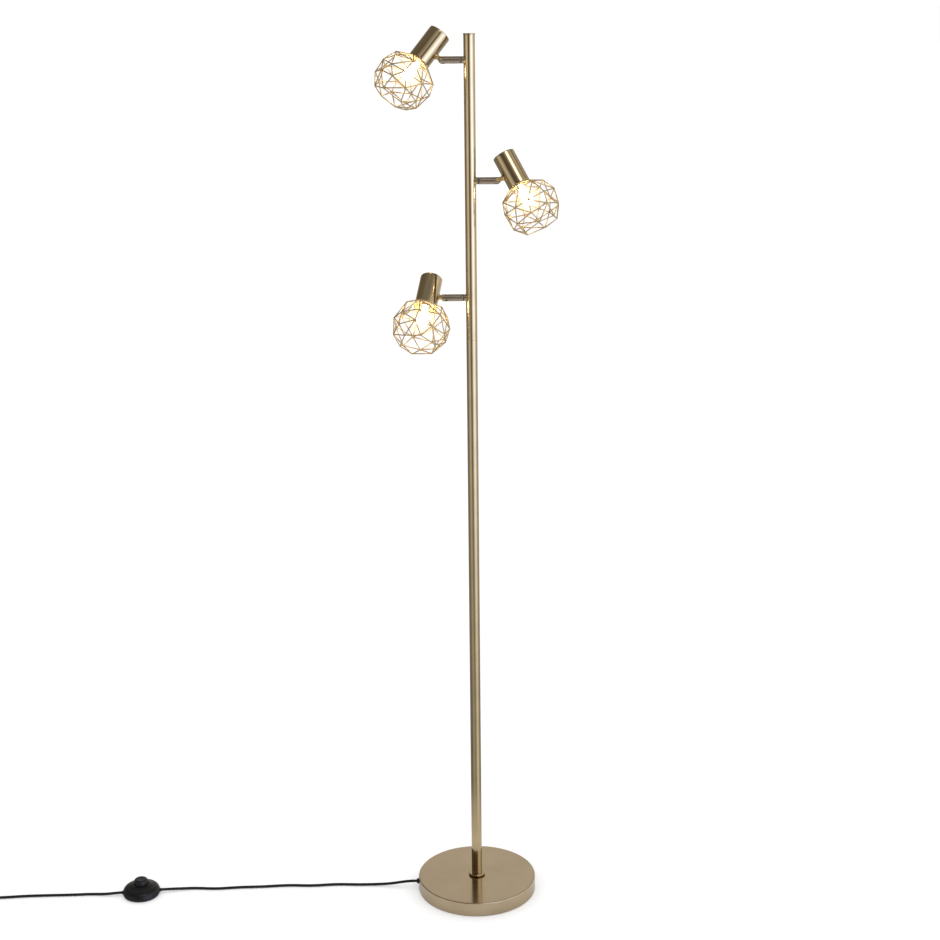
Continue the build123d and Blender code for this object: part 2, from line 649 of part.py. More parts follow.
# ---------------------------------------------------------------- welded cage
def ring_welds(drop, count, first_turn, ring_number):
    """Place the uneven welds of one ring on the cage's sphere."""
    welds = []
    for k in range(count):
        swing = math.radians(CAGE_WOBBLE_STEP * (k + 1) * (ring_number + 1))
        turn = first_turn + 360 / count * k + CAGE_TURN_WOBBLE * math.sin(swing)
        depth = drop + CAGE_RISE_WOBBLE * math.cos(swing) * (ring_number < len(CAGE_RINGS) - 1)
        reach = math.sqrt(CAGE_RADIUS**2 - depth**2)
        angle = math.radians(turn)
        welds.append(Vector(reach * math.cos(angle), reach * math.sin(angle), -CAGE_BELOW_MOUTH - depth))
    return welds


def laced(upper, lower):
    """Pair the welds of two rings in a zigzag all the way round, each time by the shorter wire."""
    start = min(range(len(lower)), key=lambda k: (lower[k] - upper[0]).length)
    over = upper + upper[:1]
    under = lower[start:] + lower[: start + 1]
    pairs = []
    i, j = 0, 0
    while i < len(upper) or j < len(lower):
        pairs.append((over[i], under[j]))
        if j == len(lower):
            i += 1
        elif i == len(upper) or (over[i] - under[j + 1]).length < (over[i + 1] - under[j]).length:
            j += 1
        else:
            i += 1
    return pairs


def in_a_ring(spots):
    """Pair each spot with the next one round."""
    return list(zip(spots, spots[1:] + spots[:1]))


cage_middle = Vector(0, 0, -CAGE_BELOW_MOUTH)
rim_spots = []
for k in range(CAGE_RIM_WELDS * CAGE_RIM_STEPS):
    angle = 2 * math.pi * k / (CAGE_RIM_WELDS * CAGE_RIM_STEPS)
    rim_spots.append(
        Vector(cage_rim_radius * math.cos(angle), cage_rim_radius * math.sin(angle), -cage_rim_drop)
    )
weld_rings = [rim_spots[::CAGE_RIM_STEPS]]
weld_rings += [ring_welds(*ring, number) for number, ring in enumerate(CAGE_RINGS)]

wires = in_a_ring(rim_spots)
for upper_ring, lower_ring in zip(weld_rings, weld_rings[1:]):
    wires += laced(upper_ring, lower_ring) + in_a_ring(lower_ring)

# Height over the wire's middle and half width at each corner down one side of an octagonal wire
octagon_half_flat = wire_radius * math.tan(math.pi / 8)
wire_corners = (
    (wire_radius, octagon_half_flat),
    (octagon_half_flat, wire_radius),
    (-octagon_half_flat, wire_radius),
    (-wire_radius, octagon_half_flat),
)


def spot_key(spot):
    """Return a name by which wires that end on the same weld find each other."""
    return (round(spot.X, 6), round(spot.Y, 6), round(spot.Z, 6))


def mitres(spot, outward, ends):
    """Corners shared by neighbouring wires at one weld.

    Each wire's entry holds the corners on its clockwise and on its counter-clockwise side, seen
    from outside. The second value lists the corners by gap, for the weld's own two faces.
    """
    flat = Plane(spot, z_dir=outward)
    aims = {}
    for end in ends:
        local = flat.to_local_coords(end)
        aims[spot_key(end)] = math.atan2(local.Y, local.X) % (2 * math.pi)
    in_turn = sorted(aims, key=aims.get)
    gaps = []
    for here, there in zip(in_turn, in_turn[1:] + in_turn[:1]):
        half_gap = ((aims[there] - aims[here]) % (2 * math.pi)) / 2
        middle = aims[here] + half_gap
        corners = []
        for height, half_width in wire_corners:
            reach = half_width / math.sin(half_gap)
            corner = Vector(reach * math.cos(middle), reach * math.sin(middle), height)
            corners.append(flat.from_local_coords(corner))
        gaps.append(corners)
    sides = {end: (gaps[k - 1], gaps[k]) for k, end in enumerate(in_turn)}
    return sides, gaps


def lattice_faces(wires, outward_at):
    """Flat faces of straight octagonal wires that meet in mitred welds."""
    ends_at = {}
    for start, end in wires:
        ends_at.setdefault(spot_key(start), (start, []))[1].append(end)
        ends_at.setdefault(spot_key(end), (end, []))[1].append(start)
    sides_at = {}
    polygons = []
    for key, (spot, ends) in ends_at.items():
        sides_at[key], gaps = mitres(spot, outward_at(spot), ends)
        if len(gaps) > 2:
            polygons.append([gap[0] for gap in gaps])
            polygons.append([gap[-1] for gap in gaps])
    for start, end in wires:
        start_right, start_left = sides_at[spot_key(start)][spot_key(end)]
        end_left, end_right = sides_at[spot_key(end)][spot_key(start)]
        first = start_left + start_right[::-1]
        last = end_left + end_right[::-1]
        for k in range(len(first)):
            polygons.append([first[k - 1], first[k], last[k]])
            polygons.append([first[k - 1], last[k], last[k - 1]])
    return [Face(Wire.make_polygon(corners, close=True)) for corners in polygons]


def out_of_cage(spot):
    """Direction out of the cage at a weld: up the holder on the rim, elsewhere from the middle."""
    if spot.Z > -cage_rim_drop - wire_radius:
        return Vector(0, 0, 1)
    return spot - cage_middle


with BuildPart() as cage:
    add(Solid(Shell(lattice_faces(wires, out_of_cage))), clean=False)
print(f"cage: {len(wires)} wires, {len(cage.part.solids())} solid, volume {cage.part.volume:.1f}")

# ---------------------------------------------------------------- arms and heads in place
for number in range(len(HEADS)):
    tag = number + 1
    on_arm = arm_frame(number)
    on_head = head_frame(number)
    spin = Location((0, 0, 0), (0, 0, HEADS[number][3]))
    write(arm_tube.part.moved(on_arm), f"arm_tube_{tag}")
    write(arm_clevis.part.moved(on_arm), f"arm_clevis_{tag}")
    write(tilt_screw.part.moved(on_arm), f"tilt_screw_{tag}")
    write(tongue.part.moved(on_head), f"holder_tongue_{tag}")
    write(holder.part.moved(on_head), f"holder_{tag}")
    write(lampholder.moved(on_head), f"lampholder_{tag}")
    write(bulb_cap.moved(on_head), f"bulb_cap_{tag}")
    write(bulb_globe.part.moved(on_head), f"bulb_globe_{tag}")
    write(cage.part.moved(on_head * spin), f"cage_{tag}")

# ---------------------------------------------------------------- cord gland
gland_plane = Plane((-base_radius, 0, CORD_EXIT_HEIGHT), z_dir=(-1, 0, 0))
with BuildPart() as cord_gland:
    with BuildSketch(gland_plane):
        Circle(GLAND_FLANGE_DIAMETER / 2)
    extrude(amount=GLAND_FLANGE_THICKNESS)
    with BuildSketch(gland_plane.offset(GLAND_FLANGE_THICKNESS)):
        Circle(GLAND_NECK_DIAMETER / 2)
    extrude(amount=GLAND_REACH - GLAND_FLANGE_THICKNESS)
    chamfer(cord_gland.faces().sort_by(Axis.X)[0].edges(), length=GLAND_BEVEL)
    with BuildSketch(gland_plane):
        Circle(GLAND_BODY_DIAMETER / 2)
    extrude(amount=-COVER_WALL - GLAND_COLLAR_THICKNESS)
    # the flange follows the round wall
    with BuildSketch(Plane.XY.offset(COVER_LIFT)):
        Circle(base_radius)
        Circle(cover_inner_radius, mode=Mode.SUBTRACT)
    extrude(amount=BASE_HEIGHT, mode=Mode.SUBTRACT)
    with BuildSketch(gland_plane):
        Circle(GLAND_BODY_DIAMETER / 2)
    extrude(amount=-COVER_WALL - GLAND_COLLAR_THICKNESS)
write(cord_gland.part, "cord_gland")

# ---------------------------------------------------------------- cord in the base
inner_start = -base_radius + COVER_WALL + GLAND_COLLAR_THICKNESS
inner_end = terminal_end - TERMINAL_LENGTH
inner_plane = Plane((inner_start, 0, CORD_EXIT_HEIGHT), z_dir=(1, 0, 0))
with BuildPart() as cord_in_base:
    with BuildSketch(inner_plane):
        Circle(cord_radius)
    extrude(amount=inner_end - inner_start)
write(cord_in_base.part, "cord_in_base")

# ---------------------------------------------------------------- foot switch
switch_frame = Location((SWITCH_CENTRE[0], SWITCH_CENTRE[1], 0), (0, 0, SWITCH_TURN))
switch_radius = SWITCH_DIAMETER / 2
button_hole_radius = BUTTON_DIAMETER / 2 + BUTTON_BORE_CLEARANCE
inner_crown = SWITCH_CROWN_HEIGHT - SWITCH_WALL
button_flange_top = inner_crown - BUTTON_BORE_CLEARANCE
button_flange_bottom = button_flange_top - BUTTON_FLANGE_THICKNESS
block_height = button_flange_bottom - BUTTON_TRAVEL - BUTTON_BORE_CLEARANCE
stem_well_floor = SWITCH_WALL + SWITCH_BLOCK_FLOOR

with BuildPart() as switch_bottom:
    with BuildSketch():
        Circle(SWITCH_FLOOR_DIAMETER / 2)
    with BuildSketch(Plane.XY.offset(SWITCH_SEAM_HEIGHT)):
        Circle(switch_radius)
    loft()
    with BuildSketch(Plane.XY.offset(SWITCH_WALL)):
        Circle(SWITCH_FLOOR_DIAMETER / 2 - SWITCH_WALL)
    extrude(amount=SWITCH_SEAM_HEIGHT, mode=Mode.SUBTRACT)
    with BuildSketch():
        with PolarLocations(SWITCH_SCREW_CIRCLE / 2, 2, start_angle=90):
            Circle(SWITCH_SCREW_DIAMETER / 2 + INSERT_CLEARANCE)
    extrude(amount=SWITCH_WALL, mode=Mode.SUBTRACT)
    with BuildSketch():
        with PolarLocations(SWITCH_SCREW_CIRCLE / 2, 2, start_angle=90):
            Circle(SWITCH_SCREW_HEAD_DIAMETER / 2 + INSERT_CLEARANCE)
    extrude(amount=SWITCH_SCREW_RECESS + SWITCH_SCREW_HEAD_HEIGHT, mode=Mode.SUBTRACT)
    with BuildSketch(Plane.YZ.offset(-switch_radius - CUT_MARGIN)):
        with Locations((0, SWITCH_SEAM_HEIGHT)):
            Circle(SWITCH_BUSHING_DIAMETER / 2 + SWITCH_BUSHING_CLEARANCE)
    extrude(amount=2 * (switch_radius + CUT_MARGIN), mode=Mode.SUBTRACT)
write(switch_bottom.part.moved(switch_frame), "switch_bottom")

crown_radius = BUTTON_FLANGE_DIAMETER / 2 + BUTTON_BORE_CLEARANCE
inner_shoulder = SWITCH_SHOULDER_HEIGHT - SWITCH_WALL
with BuildPart() as switch_top:
    with BuildSketch(Plane.XZ):
        with BuildLine():
            dome_edge = (switch_radius, SWITCH_SEAM_HEIGHT)
            shoulder = (SWITCH_SHOULDER_DIAMETER / 2, SWITCH_SHOULDER_HEIGHT)
            TangentArc(dome_edge, shoulder, tangent=(0, 1))
            Polyline(
                shoulder,
                (crown_radius + SWITCH_WALL, SWITCH_CROWN_HEIGHT),
                (button_hole_radius, SWITCH_CROWN_HEIGHT),
                (button_hole_radius, inner_crown),
                (crown_radius, inner_crown),
                (shoulder[0] - SWITCH_WALL, inner_shoulder),
                (switch_radius - SWITCH_WALL - SWITCH_INNER_BEVEL, inner_shoulder),
                (switch_radius - SWITCH_WALL, inner_shoulder - SWITCH_INNER_BEVEL),
                (switch_radius - SWITCH_WALL, SWITCH_SEAM_HEIGHT),
                dome_edge,
            )
        make_face()
    revolve(axis=Axis.Z)
    with BuildSketch(Plane.XY.offset(SWITCH_SEAM_HEIGHT)):
        with PolarLocations(SWITCH_SCREW_CIRCLE / 2, 2, start_angle=90):
            Circle(SWITCH_BOSS_DIAMETER / 2)
    extrude(amount=SWITCH_SHOULDER_HEIGHT - SWITCH_WALL - SWITCH_SEAM_HEIGHT)
    with BuildSketch(Plane.XY.offset(SWITCH_WALL)):
        with PolarLocations(SWITCH_SCREW_CIRCLE / 2, 2, start_angle=90):
            Circle(SWITCH_SCREW_DIAMETER / 2 + INSERT_CLEARANCE)
    extrude(amount=SWITCH_SCREW_LENGTH, mode=Mode.SUBTRACT)
    with BuildSketch(Plane.YZ.offset(-switch_radius - CUT_MARGIN)):
        with Locations((0, SWITCH_SEAM_HEIGHT)):
            Circle(SWITCH_BUSHING_DIAMETER / 2 + SWITCH_BUSHING_CLEARANCE)
    extrude(amount=2 * (switch_radius + CUT_MARGIN), mode=Mode.SUBTRACT)
write(switch_top.part.moved(switch_frame), "switch_top")

switch_bushings = []
for direction in (1, -1):
    flange_start = switch_radius - SWITCH_WALL - SWITCH_BUSHING_FLANGE
    with BuildPart() as bushing:
        with BuildSketch(Plane((direction * flange_start, 0, SWITCH_SEAM_HEIGHT), z_dir=(direction, 0, 0))):
            Circle(SWITCH_BUSHING_DIAMETER / 2)
        with BuildSketch(
            Plane((direction * SWITCH_BUSHING_REACH, 0, SWITCH_SEAM_HEIGHT), z_dir=(direction, 0, 0))
        ):
            Circle(SWITCH_BUSHING_TIP_DIAMETER / 2)
        loft()
    switch_bushings.append(bushing.part.moved(switch_frame))
write_group(switch_bushings, "switch_bushings")

with BuildPart() as switch_block:
    with BuildSketch(Plane.XY.offset(SWITCH_WALL)):
        Rectangle(SWITCH_BLOCK_LENGTH, SWITCH_BLOCK_WIDTH)
    extrude(amount=block_height - SWITCH_WALL)
    with BuildSketch(Plane.XY.offset(stem_well_floor)):
        Circle(BUTTON_STEM_DIAMETER / 2 + BUTTON_STEM_CLEARANCE)
    extrude(amount=block_height, mode=Mode.SUBTRACT)
write(switch_block.part.moved(switch_frame), "switch_block")

stem_bottom = stem_well_floor + BUTTON_TRAVEL + BUTTON_STEM_CLEARANCE
with BuildPart() as switch_button:
    with BuildSketch(Plane.XY.offset(button_flange_bottom)):
        Circle(BUTTON_DIAMETER / 2)
    extrude(amount=BUTTON_TOP - button_flange_bottom)
    fillet(switch_button.faces().sort_by(Axis.Z)[-1].edges(), radius=BUTTON_EDGE_RADIUS)
    with BuildSketch(Plane.XY.offset(button_flange_bottom)):
        Circle(BUTTON_FLANGE_DIAMETER / 2)
    extrude(amount=BUTTON_FLANGE_THICKNESS)
    with BuildSketch(Plane.XY.offset(stem_bottom)):
        Circle(BUTTON_STEM_DIAMETER / 2)
    extrude(amount=button_flange_bottom - stem_bottom)
write(switch_button.part.moved(switch_frame), "switch_button")

switch_screws = []
for direction in (1, -1):
    with BuildPart() as switch_screw:
        screw_y = direction * SWITCH_SCREW_CIRCLE / 2
        with BuildSketch(Plane((0, screw_y, SWITCH_SCREW_RECESS))):
            Circle(SWITCH_SCREW_HEAD_DIAMETER / 2)
        extrude(amount=SWITCH_SCREW_HEAD_HEIGHT)
        with BuildSketch(Plane((0, screw_y, SWITCH_SCREW_RECESS))):
            Circle(SWITCH_SCREW_DIAMETER / 2)
        extrude(amount=SWITCH_SCREW_LENGTH)
    switch_screws.append(switch_screw.part.moved(switch_frame))
write_group(switch_screws, "switch_screws")

# ---------------------------------------------------------------- free cord
# the route's points were chosen by eye from where the cord lies on the floor
def beside_switch(reach):
    """Point on the switch's cord axis, so far from its middle towards the base."""
    return tuple((switch_frame * Pos(reach, 0, SWITCH_SEAM_HEIGHT)).position)


near_end, near_lead = beside_switch(SWITCH_BUSHING_REACH), beside_switch(SWITCH_BUSHING_REACH + CORD_LEAD)
far_end, far_lead = beside_switch(-SWITCH_BUSHING_REACH), beside_switch(-SWITCH_BUSHING_REACH - CORD_LEAD)

BASE_TO_SWITCH = (
    (exit_x, 0.0, CORD_EXIT_HEIGHT),
    (exit_x - CORD_LEAD, 0.0, CORD_EXIT_HEIGHT),
    (-141.0, 1.4, 10.2),
    (-161.0, 3.6, 5.9),
    (-186.0, 6.4, 3.2),
    (-223.0, 6.9, CORD_LAY),
    (-264.0, 9.6, CORD_LAY),
    (-307.0, 4.1, CORD_LAY),
    (-352.0, 7.8, CORD_LAY),
    (-400.0, 2.6, CORD_LAY),
    (-444.0, 1.8, CORD_LAY),
    (-485.0, -3.6, CORD_LAY),
    (-524.0, 0.4, CORD_LAY),
    (-553.0, -3.2, 3.6),
    near_lead,
    near_end,
)
COIL_START = (-942.0, -28.4)
SWITCH_TO_COIL = (
    far_end,
    far_lead,
    (-690.0, -20.6, 3.4),
    (-716.0, -18.0, CORD_LAY),
    (-750.0, -20.4, CORD_LAY),
    (-793.0, -21.2, CORD_LAY),
    (-838.0, -23.0, CORD_LAY),
    (-874.0, -27.2, CORD_LAY),
    (-907.0, COIL_START[1], CORD_LAY),
    (COIL_START[0] + CORD_DIAMETER, COIL_START[1], CORD_LAY),
)


def arc_radii(points):
    """Radius of the arc at each inner point: a share of the shorter run over tan(half the turn)."""
    radii = []
    for before, here, after in zip(points, points[1:], points[2:]):
        run_in = Vector(*here) - Vector(*before)
        run_out = Vector(*after) - Vector(*here)
        half_turn = math.radians(run_in.get_angle(run_out) / 2)
        radii.append(CORD_BEND_SHARE * min(run_in.length, run_out.length) / math.tan(half_turn))
    return radii


def cord_tube(points, name):
    """Sweep a free stretch of cord along its points and print how well it came out."""
    radii = arc_radii(points)
    with BuildPart() as tube:
        with BuildLine() as route:
            FilletPolyline(*points, radius=radii)
        start_direction = Vector(*points[1]) - Vector(*points[0])
        with BuildSketch(Plane(points[0], z_dir=start_direction)):
            Circle(cord_radius)
        sweep()
    length = route.wires()[0].length
    ratio = tube.part.volume / (math.pi * cord_radius**2 * length)
    print(f"{name}: length {length:.1f}, radii {min(radii):.0f} to {max(radii):.0f}, fill {ratio:.4f}")
    return tube.part, length


near_cord, near_length = cord_tube(BASE_TO_SWITCH, "cord_base_to_switch")
write(near_cord, "cord_base_to_switch")
far_cord, far_length = cord_tube(SWITCH_TO_COIL, "cord_switch_to_coil")
write(far_cord, "cord_switch_to_coil")

# ---------------------------------------------------------------- coil
# two layers of half turns: in on the floor, up a layer in the innermost one, out again on top
coil_high = CORD_LAY + COIL_LAYER_RISE
coil_step = COIL_PITCH / 2
coil_outer_radius = COIL_MID_DIAMETER / 2 + (COIL_HALVES_IN - 1) / 2 * coil_step
half_turns = []
for k in range(COIL_HALVES_IN):
    half_turns.append((coil_outer_radius - k * coil_step, CORD_LAY, CORD_LAY))
climb_radius = coil_outer_radius - COIL_HALVES_IN * coil_step
half_turns.append((climb_radius, CORD_LAY, coil_high))
for k in range(COIL_HALVES_IN + 1):
    half_turns.append((climb_radius + (k + 1) * coil_step, coil_high, coil_high))

coil_x, coil_y = COIL_START
with BuildPart() as cord_coil:
    with BuildLine() as coil_route:
        Line((coil_x + CORD_DIAMETER, coil_y, CORD_LAY), (coil_x, coil_y, CORD_LAY))
        here = (coil_x, coil_y, CORD_LAY)
        heading = -1
        for half_radius, low, high in half_turns:
            # the coil turns clockwise: along -X at the front and along +X at the back
            there = (coil_x, here[1] - heading * 2 * half_radius, high)
            bulge = math.hypot(half_radius, (high - low) / 2)
            middle = (coil_x + heading * bulge, (here[1] + there[1]) / 2, (low + high) / 2)
            TangentArc(here, middle, tangent=(heading, 0, 0))
            TangentArc(middle, there, tangent=(0, there[1] - here[1], high - low))
            here = there
            heading = -heading
        tail_end = (coil_x + heading * COIL_TAIL, here[1], here[2])
        Line(here, tail_end)
    with BuildSketch(Plane((coil_x + CORD_DIAMETER, coil_y, CORD_LAY), x_dir=(0, 1, 0), z_dir=(-1, 0, 0))):
        RegularPolygon(
            cord_radius, COIL_CORD_SIDES, major_radius=False, rotation=180 / COIL_CORD_SIDES
        )
    sweep()
write(cord_coil.part, "cord_coil")


def least_gap(wire, thickness, apart):
    """Least distance between surfaces of stretches of a wire more than `apart` along it."""
    steps = int(wire.length / (thickness / 2))
    spots = [wire.position_at(k / steps) for k in range(steps + 1)]
    skip = int(apart / wire.length * steps)
    least = math.inf
    for k, spot in enumerate(spots):
        for other in spots[k + skip :]:
            least = min(least, (spot - other).length)
    return least - thickness


coil_wire = coil_route.wires()[0]
coil_gap = least_gap(coil_wire, CORD_DIAMETER, 4 * CORD_DIAMETER)
coil_fill = cord_coil.part.volume / (coil_wire.length * cord_radius**2 * math.pi)
print(f"cord_coil: length {coil_wire.length:.1f}, {len(half_turns) / 2} turns, fill {coil_fill:.4f}")
print(f"cord_coil: least gap to itself {coil_gap:.2f}")
cord_length = near_length + far_length + coil_wire.length
print(f"whole cord from gland to plug, without the switch: {cord_length:.0f}")

# ---------------------------------------------------------------- plug
plug_plane = Plane(tail_end, x_dir=(heading, 0, 0), z_dir=(0, 0, 1))
with BuildPart() as plug_body:
    with BuildSketch(plug_plane.offset(-PLUG_THICKNESS / 2)):
        with BuildLine():
            Polyline(
                (0, PLUG_REAR_WIDTH / 2),
                (PLUG_TAPER, PLUG_WIDTH / 2),
                (PLUG_LENGTH, PLUG_WIDTH / 2),
                (PLUG_LENGTH, -PLUG_WIDTH / 2),
                (PLUG_TAPER, -PLUG_WIDTH / 2),
                (0, -PLUG_REAR_WIDTH / 2),
                close=True,
            )
        make_face()
    extrude(amount=PLUG_THICKNESS)
    fillet(plug_body.edges().filter_by(Axis.Z), radius=PLUG_EDGE)
    chamfer(plug_body.faces().filter_by(Axis.Z).edges(), length=PLUG_FACE_BEVEL)
write(plug_body.part, "plug_body")

with BuildPart() as plug_pins:
    with BuildSketch(Plane(plug_plane.from_local_coords(Vector(PLUG_LENGTH, 0, 0)), z_dir=(heading, 0, 0))):
        with Locations((0, PIN_SPACING / 2), (0, -PIN_SPACING / 2)):
            Circle(PIN_DIAMETER / 2)
    extrude(amount=PIN_LENGTH)
    chamfer(plug_pins.edges().filter_by(GeomType.CIRCLE).group_by(Axis.X)[0], length=PIN_TIP_BEVEL)
write(plug_pins.part, "plug_pins")
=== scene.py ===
"""Dressed floor lamp with three swivelling spot heads in wire cages, in a plain pale studio.

Everything is in metres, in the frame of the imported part: +Z up, the origin on the floor under the
middle of the base. New pieces are parametric surfaces worked out with numpy.
"""

from __future__ import annotations

import json
import logging
import math
from dataclasses import dataclass, field, replace
from enum import Enum

import bmesh
import bpy
import numpy as np
from mathutils import Matrix
from numpy.typing import NDArray

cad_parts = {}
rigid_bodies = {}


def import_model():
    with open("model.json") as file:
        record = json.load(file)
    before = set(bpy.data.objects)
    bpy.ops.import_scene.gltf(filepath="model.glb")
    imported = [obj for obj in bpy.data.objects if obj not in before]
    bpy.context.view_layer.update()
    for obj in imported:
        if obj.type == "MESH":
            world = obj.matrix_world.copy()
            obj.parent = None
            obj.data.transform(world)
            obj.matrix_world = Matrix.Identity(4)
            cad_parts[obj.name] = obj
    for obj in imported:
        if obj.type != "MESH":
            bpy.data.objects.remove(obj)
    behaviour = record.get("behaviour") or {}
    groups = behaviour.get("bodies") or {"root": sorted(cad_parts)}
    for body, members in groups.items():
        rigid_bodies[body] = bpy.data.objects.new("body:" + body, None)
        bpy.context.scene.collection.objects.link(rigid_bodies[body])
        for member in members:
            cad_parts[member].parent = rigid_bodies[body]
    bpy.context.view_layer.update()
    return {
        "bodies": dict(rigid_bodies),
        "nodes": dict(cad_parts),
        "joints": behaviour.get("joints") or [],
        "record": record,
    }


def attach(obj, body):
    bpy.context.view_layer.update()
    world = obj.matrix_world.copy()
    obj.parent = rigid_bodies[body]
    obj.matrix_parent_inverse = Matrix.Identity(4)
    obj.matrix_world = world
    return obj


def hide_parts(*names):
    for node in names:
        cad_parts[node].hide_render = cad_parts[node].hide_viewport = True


Array = NDArray[np.float64]
Span = tuple[float, float]
Outline = tuple[Span, ...]
Cards = tuple[Span, ...]
Point = tuple[float, float, float]
Colour = tuple[float, float, float]
Input = "bpy.types.NodeSocket | float | tuple[float, ...]"
log = logging.getLogger("lamp")

MM = 0.001
SHARP_ANGLE = 32.0
MERGE_DISTANCE = 1e-7


class Side(Enum):
    """Side of the pole that an arm stands on; the value is the sign of its X."""

    LEFT = -1
    RIGHT = 1


# ---------------------------------------------------------------- placing
@dataclass(frozen=True)
class Frame:
    """Right-handed frame: an origin and three unit axes, as rows."""

    origin: Array
    axes: Array

    def place(self, points: Array) -> Array:
        """Take points from this frame to the part's frame."""
        return self.origin + points @ self.axes

    def local(self, points: Array) -> Array:
        """Take points from the part's frame to this frame."""
        return (points - self.origin) @ self.axes.T

    def shifted(self, x: float = 0.0, y: float = 0.0, z: float = 0.0) -> Frame:
        """Return this frame moved along its own axes."""
        return Frame(self.place(np.array([x, y, z])), self.axes)

    def turned(self, axis: int, degrees: float) -> Frame:
        """Return this frame turned about one of its own axes by the right-hand rule.

        Args:
            axis: 0, 1 or 2 for its X, Y or Z.
            degrees: Angle of the turn.

        Returns:
            The turned frame.
        """
        angle = math.radians(degrees)
        cosine, sine = math.cos(angle), math.sin(angle)
        one, two = (axis + 1) % 3, (axis + 2) % 3
        turn = np.eye(3)
        turn[one, one], turn[one, two] = cosine, sine
        turn[two, one], turn[two, two] = -sine, cosine
        return Frame(self.origin, turn @ self.axes)


WORLD = Frame(np.zeros(3), np.eye(3))


# ---------------------------------------------------------------- surfaces
def finished_mesh(
    name: str, vertices: Array, faces: list[Array], sharp: float = SHARP_ANGLE
) -> bpy.types.Object:
    """Turn grids of points and faces into a closed, smooth-shaded object at the origin.

    Args:
        name: Name of the piece.
        vertices: Points as an (n, 3) array in the part's frame.
        faces: Arrays of vertex numbers, one row for each face.
        sharp: Edges that turn by more than this many degrees stay sharp.

    Returns:
        The object, linked to the scene.
    """
    mesh = bpy.data.meshes.new(name)
    rows = [row for block in faces for row in block.tolist()]
    mesh.from_pydata(vertices.tolist(), [], rows)
    work = bmesh.new()
    work.from_mesh(mesh)
    bmesh.ops.remove_doubles(work, verts=work.verts, dist=MERGE_DISTANCE)
    bmesh.ops.dissolve_degenerate(work, edges=work.edges, dist=MERGE_DISTANCE / 10)
    bmesh.ops.recalc_face_normals(work, faces=work.faces)
    work.to_mesh(mesh)
    work.free()
    mesh.shade_smooth()
    mesh.set_sharp_from_angle(angle=math.radians(sharp))
    piece = bpy.data.objects.new(name, mesh)
    bpy.context.scene.collection.objects.link(piece)
    return piece


def grid_faces(rows: int, columns: int, wrap_rows: bool = False, start: int = 0) -> Array:
    """Quads of a grid whose columns close on themselves.

    Args:
        rows: Number of rows of points.
        columns: Number of points in each row.
        wrap_rows: Whether the last row joins the first.
        start: Number of the grid's first vertex.

    Returns:
        (m, 4) array of vertex numbers.
    """
    last = rows if wrap_rows else rows - 1
    i, j = np.meshgrid(np.arange(last), np.arange(columns), indexing="ij")
    here, right = i * columns + j, i * columns + (j + 1) % columns
    below = ((i + 1) % rows) * columns
    quads = np.stack([here, right, below + (j + 1) % columns, below + j], axis=-1)
    return quads.reshape(-1, 4) + start


def angles(steps: int) -> Array:
    """Even angles of a whole turn in radians, without the last, which is the first again."""
    return np.linspace(0, 2 * math.pi, steps, endpoint=False)


def turned_points(radius: Array | float, height: Array | float, angle: Array) -> Array:
    """Points (r cos a, r sin a, h) from arrays that spread to one row or one grid together.

    Args:
        radius: Distances r from the axis.
        height: Heights h.
        angle: Angles a in radians.

    Returns:
        The points as an (n, 3) array, row by row.
    """
    grid = [radius * np.cos(angle), radius * np.sin(angle), height + 0 * angle]
    return np.stack(grid, axis=-1).reshape(-1, 3)


def revolved(
    name: str, profile: Array, frame: Frame, segments: int = 96, loop: bool = False
) -> bpy.types.Object:
    """Surface of revolution: point (r, h) of the profile at angle a goes to (r cos a, r sin a, h).

    Args:
        name: Name of the piece.
        profile: (k, 2) array of radius and height.
        frame: Frame whose Z is the axis.
        segments: Steps round the axis.
        loop: Whether the profile closes on itself instead of ending on the axis.

    Returns:
        The piece.
    """
    points = turned_points(profile[:, :1], profile[:, 1:], angles(segments))
    faces = [grid_faces(len(profile), segments, wrap_rows=loop)]
    return finished_mesh(name, frame.place(points), faces)


def arc(centre: Span, radius: float, start: float, stop: float, steps: int = 8) -> Array:
    """Points on a circle in the profile's plane: centre + radius (cos t, sin t), t in degrees."""
    t = np.radians(np.linspace(start, stop, steps + 1))
    return np.stack([centre[0] + radius * np.cos(t), centre[1] + radius * np.sin(t)], axis=-1)


def profile_of(*parts: Array | Span) -> Array:
    """Join corner points and arcs, in millimetres, into one profile in metres."""
    return np.vstack([np.atleast_2d(np.asarray(part, float)) for part in parts]) * MM


def rounded_tube(outer: float, inner: float, low: float, high: float, edge: float) -> Array:
    """Closed profile of a tube's wall, in metres, with small rounded outer edges.

    A second row close to each rounded edge keeps the shading of the long wall straight.

    Args:
        outer: Outer radius in millimetres.
        inner: Inner radius.
        low: Height of the lower end.
        high: Height of the upper end.
        edge: Radius of the rounded edges.

    Returns:
        (k, 2) array of radius and height.
    """
    return profile_of(
        (inner, low),
        (outer - edge, low),
        arc((outer - edge, low + edge), edge, -90, 0, 4)[1:],
        (outer, low + 4 * edge),
        (outer, high - 4 * edge),
        arc((outer - edge, high - edge), edge, 0, 90, 4),
        (inner, high),
    )


def joined(name: str, pieces: list[bpy.types.Object]) -> bpy.types.Object:
    """Join several meshes into the first and name it.

    Args:
        name: Name of the joined piece.
        pieces: Pieces whose places are already in their meshes.

    Returns:
        The first piece, which now holds all of them.
    """
    work = bmesh.new()
    for piece in pieces:
        work.from_mesh(piece.data)
    work.to_mesh(pieces[0].data)
    work.free()
    for piece in pieces[1:]:
        bpy.data.objects.remove(piece)
    pieces[0].data.set_sharp_from_angle(angle=math.radians(SHARP_ANGLE))
    pieces[0].name = name
    pieces[0].data.name = name
    return pieces[0]


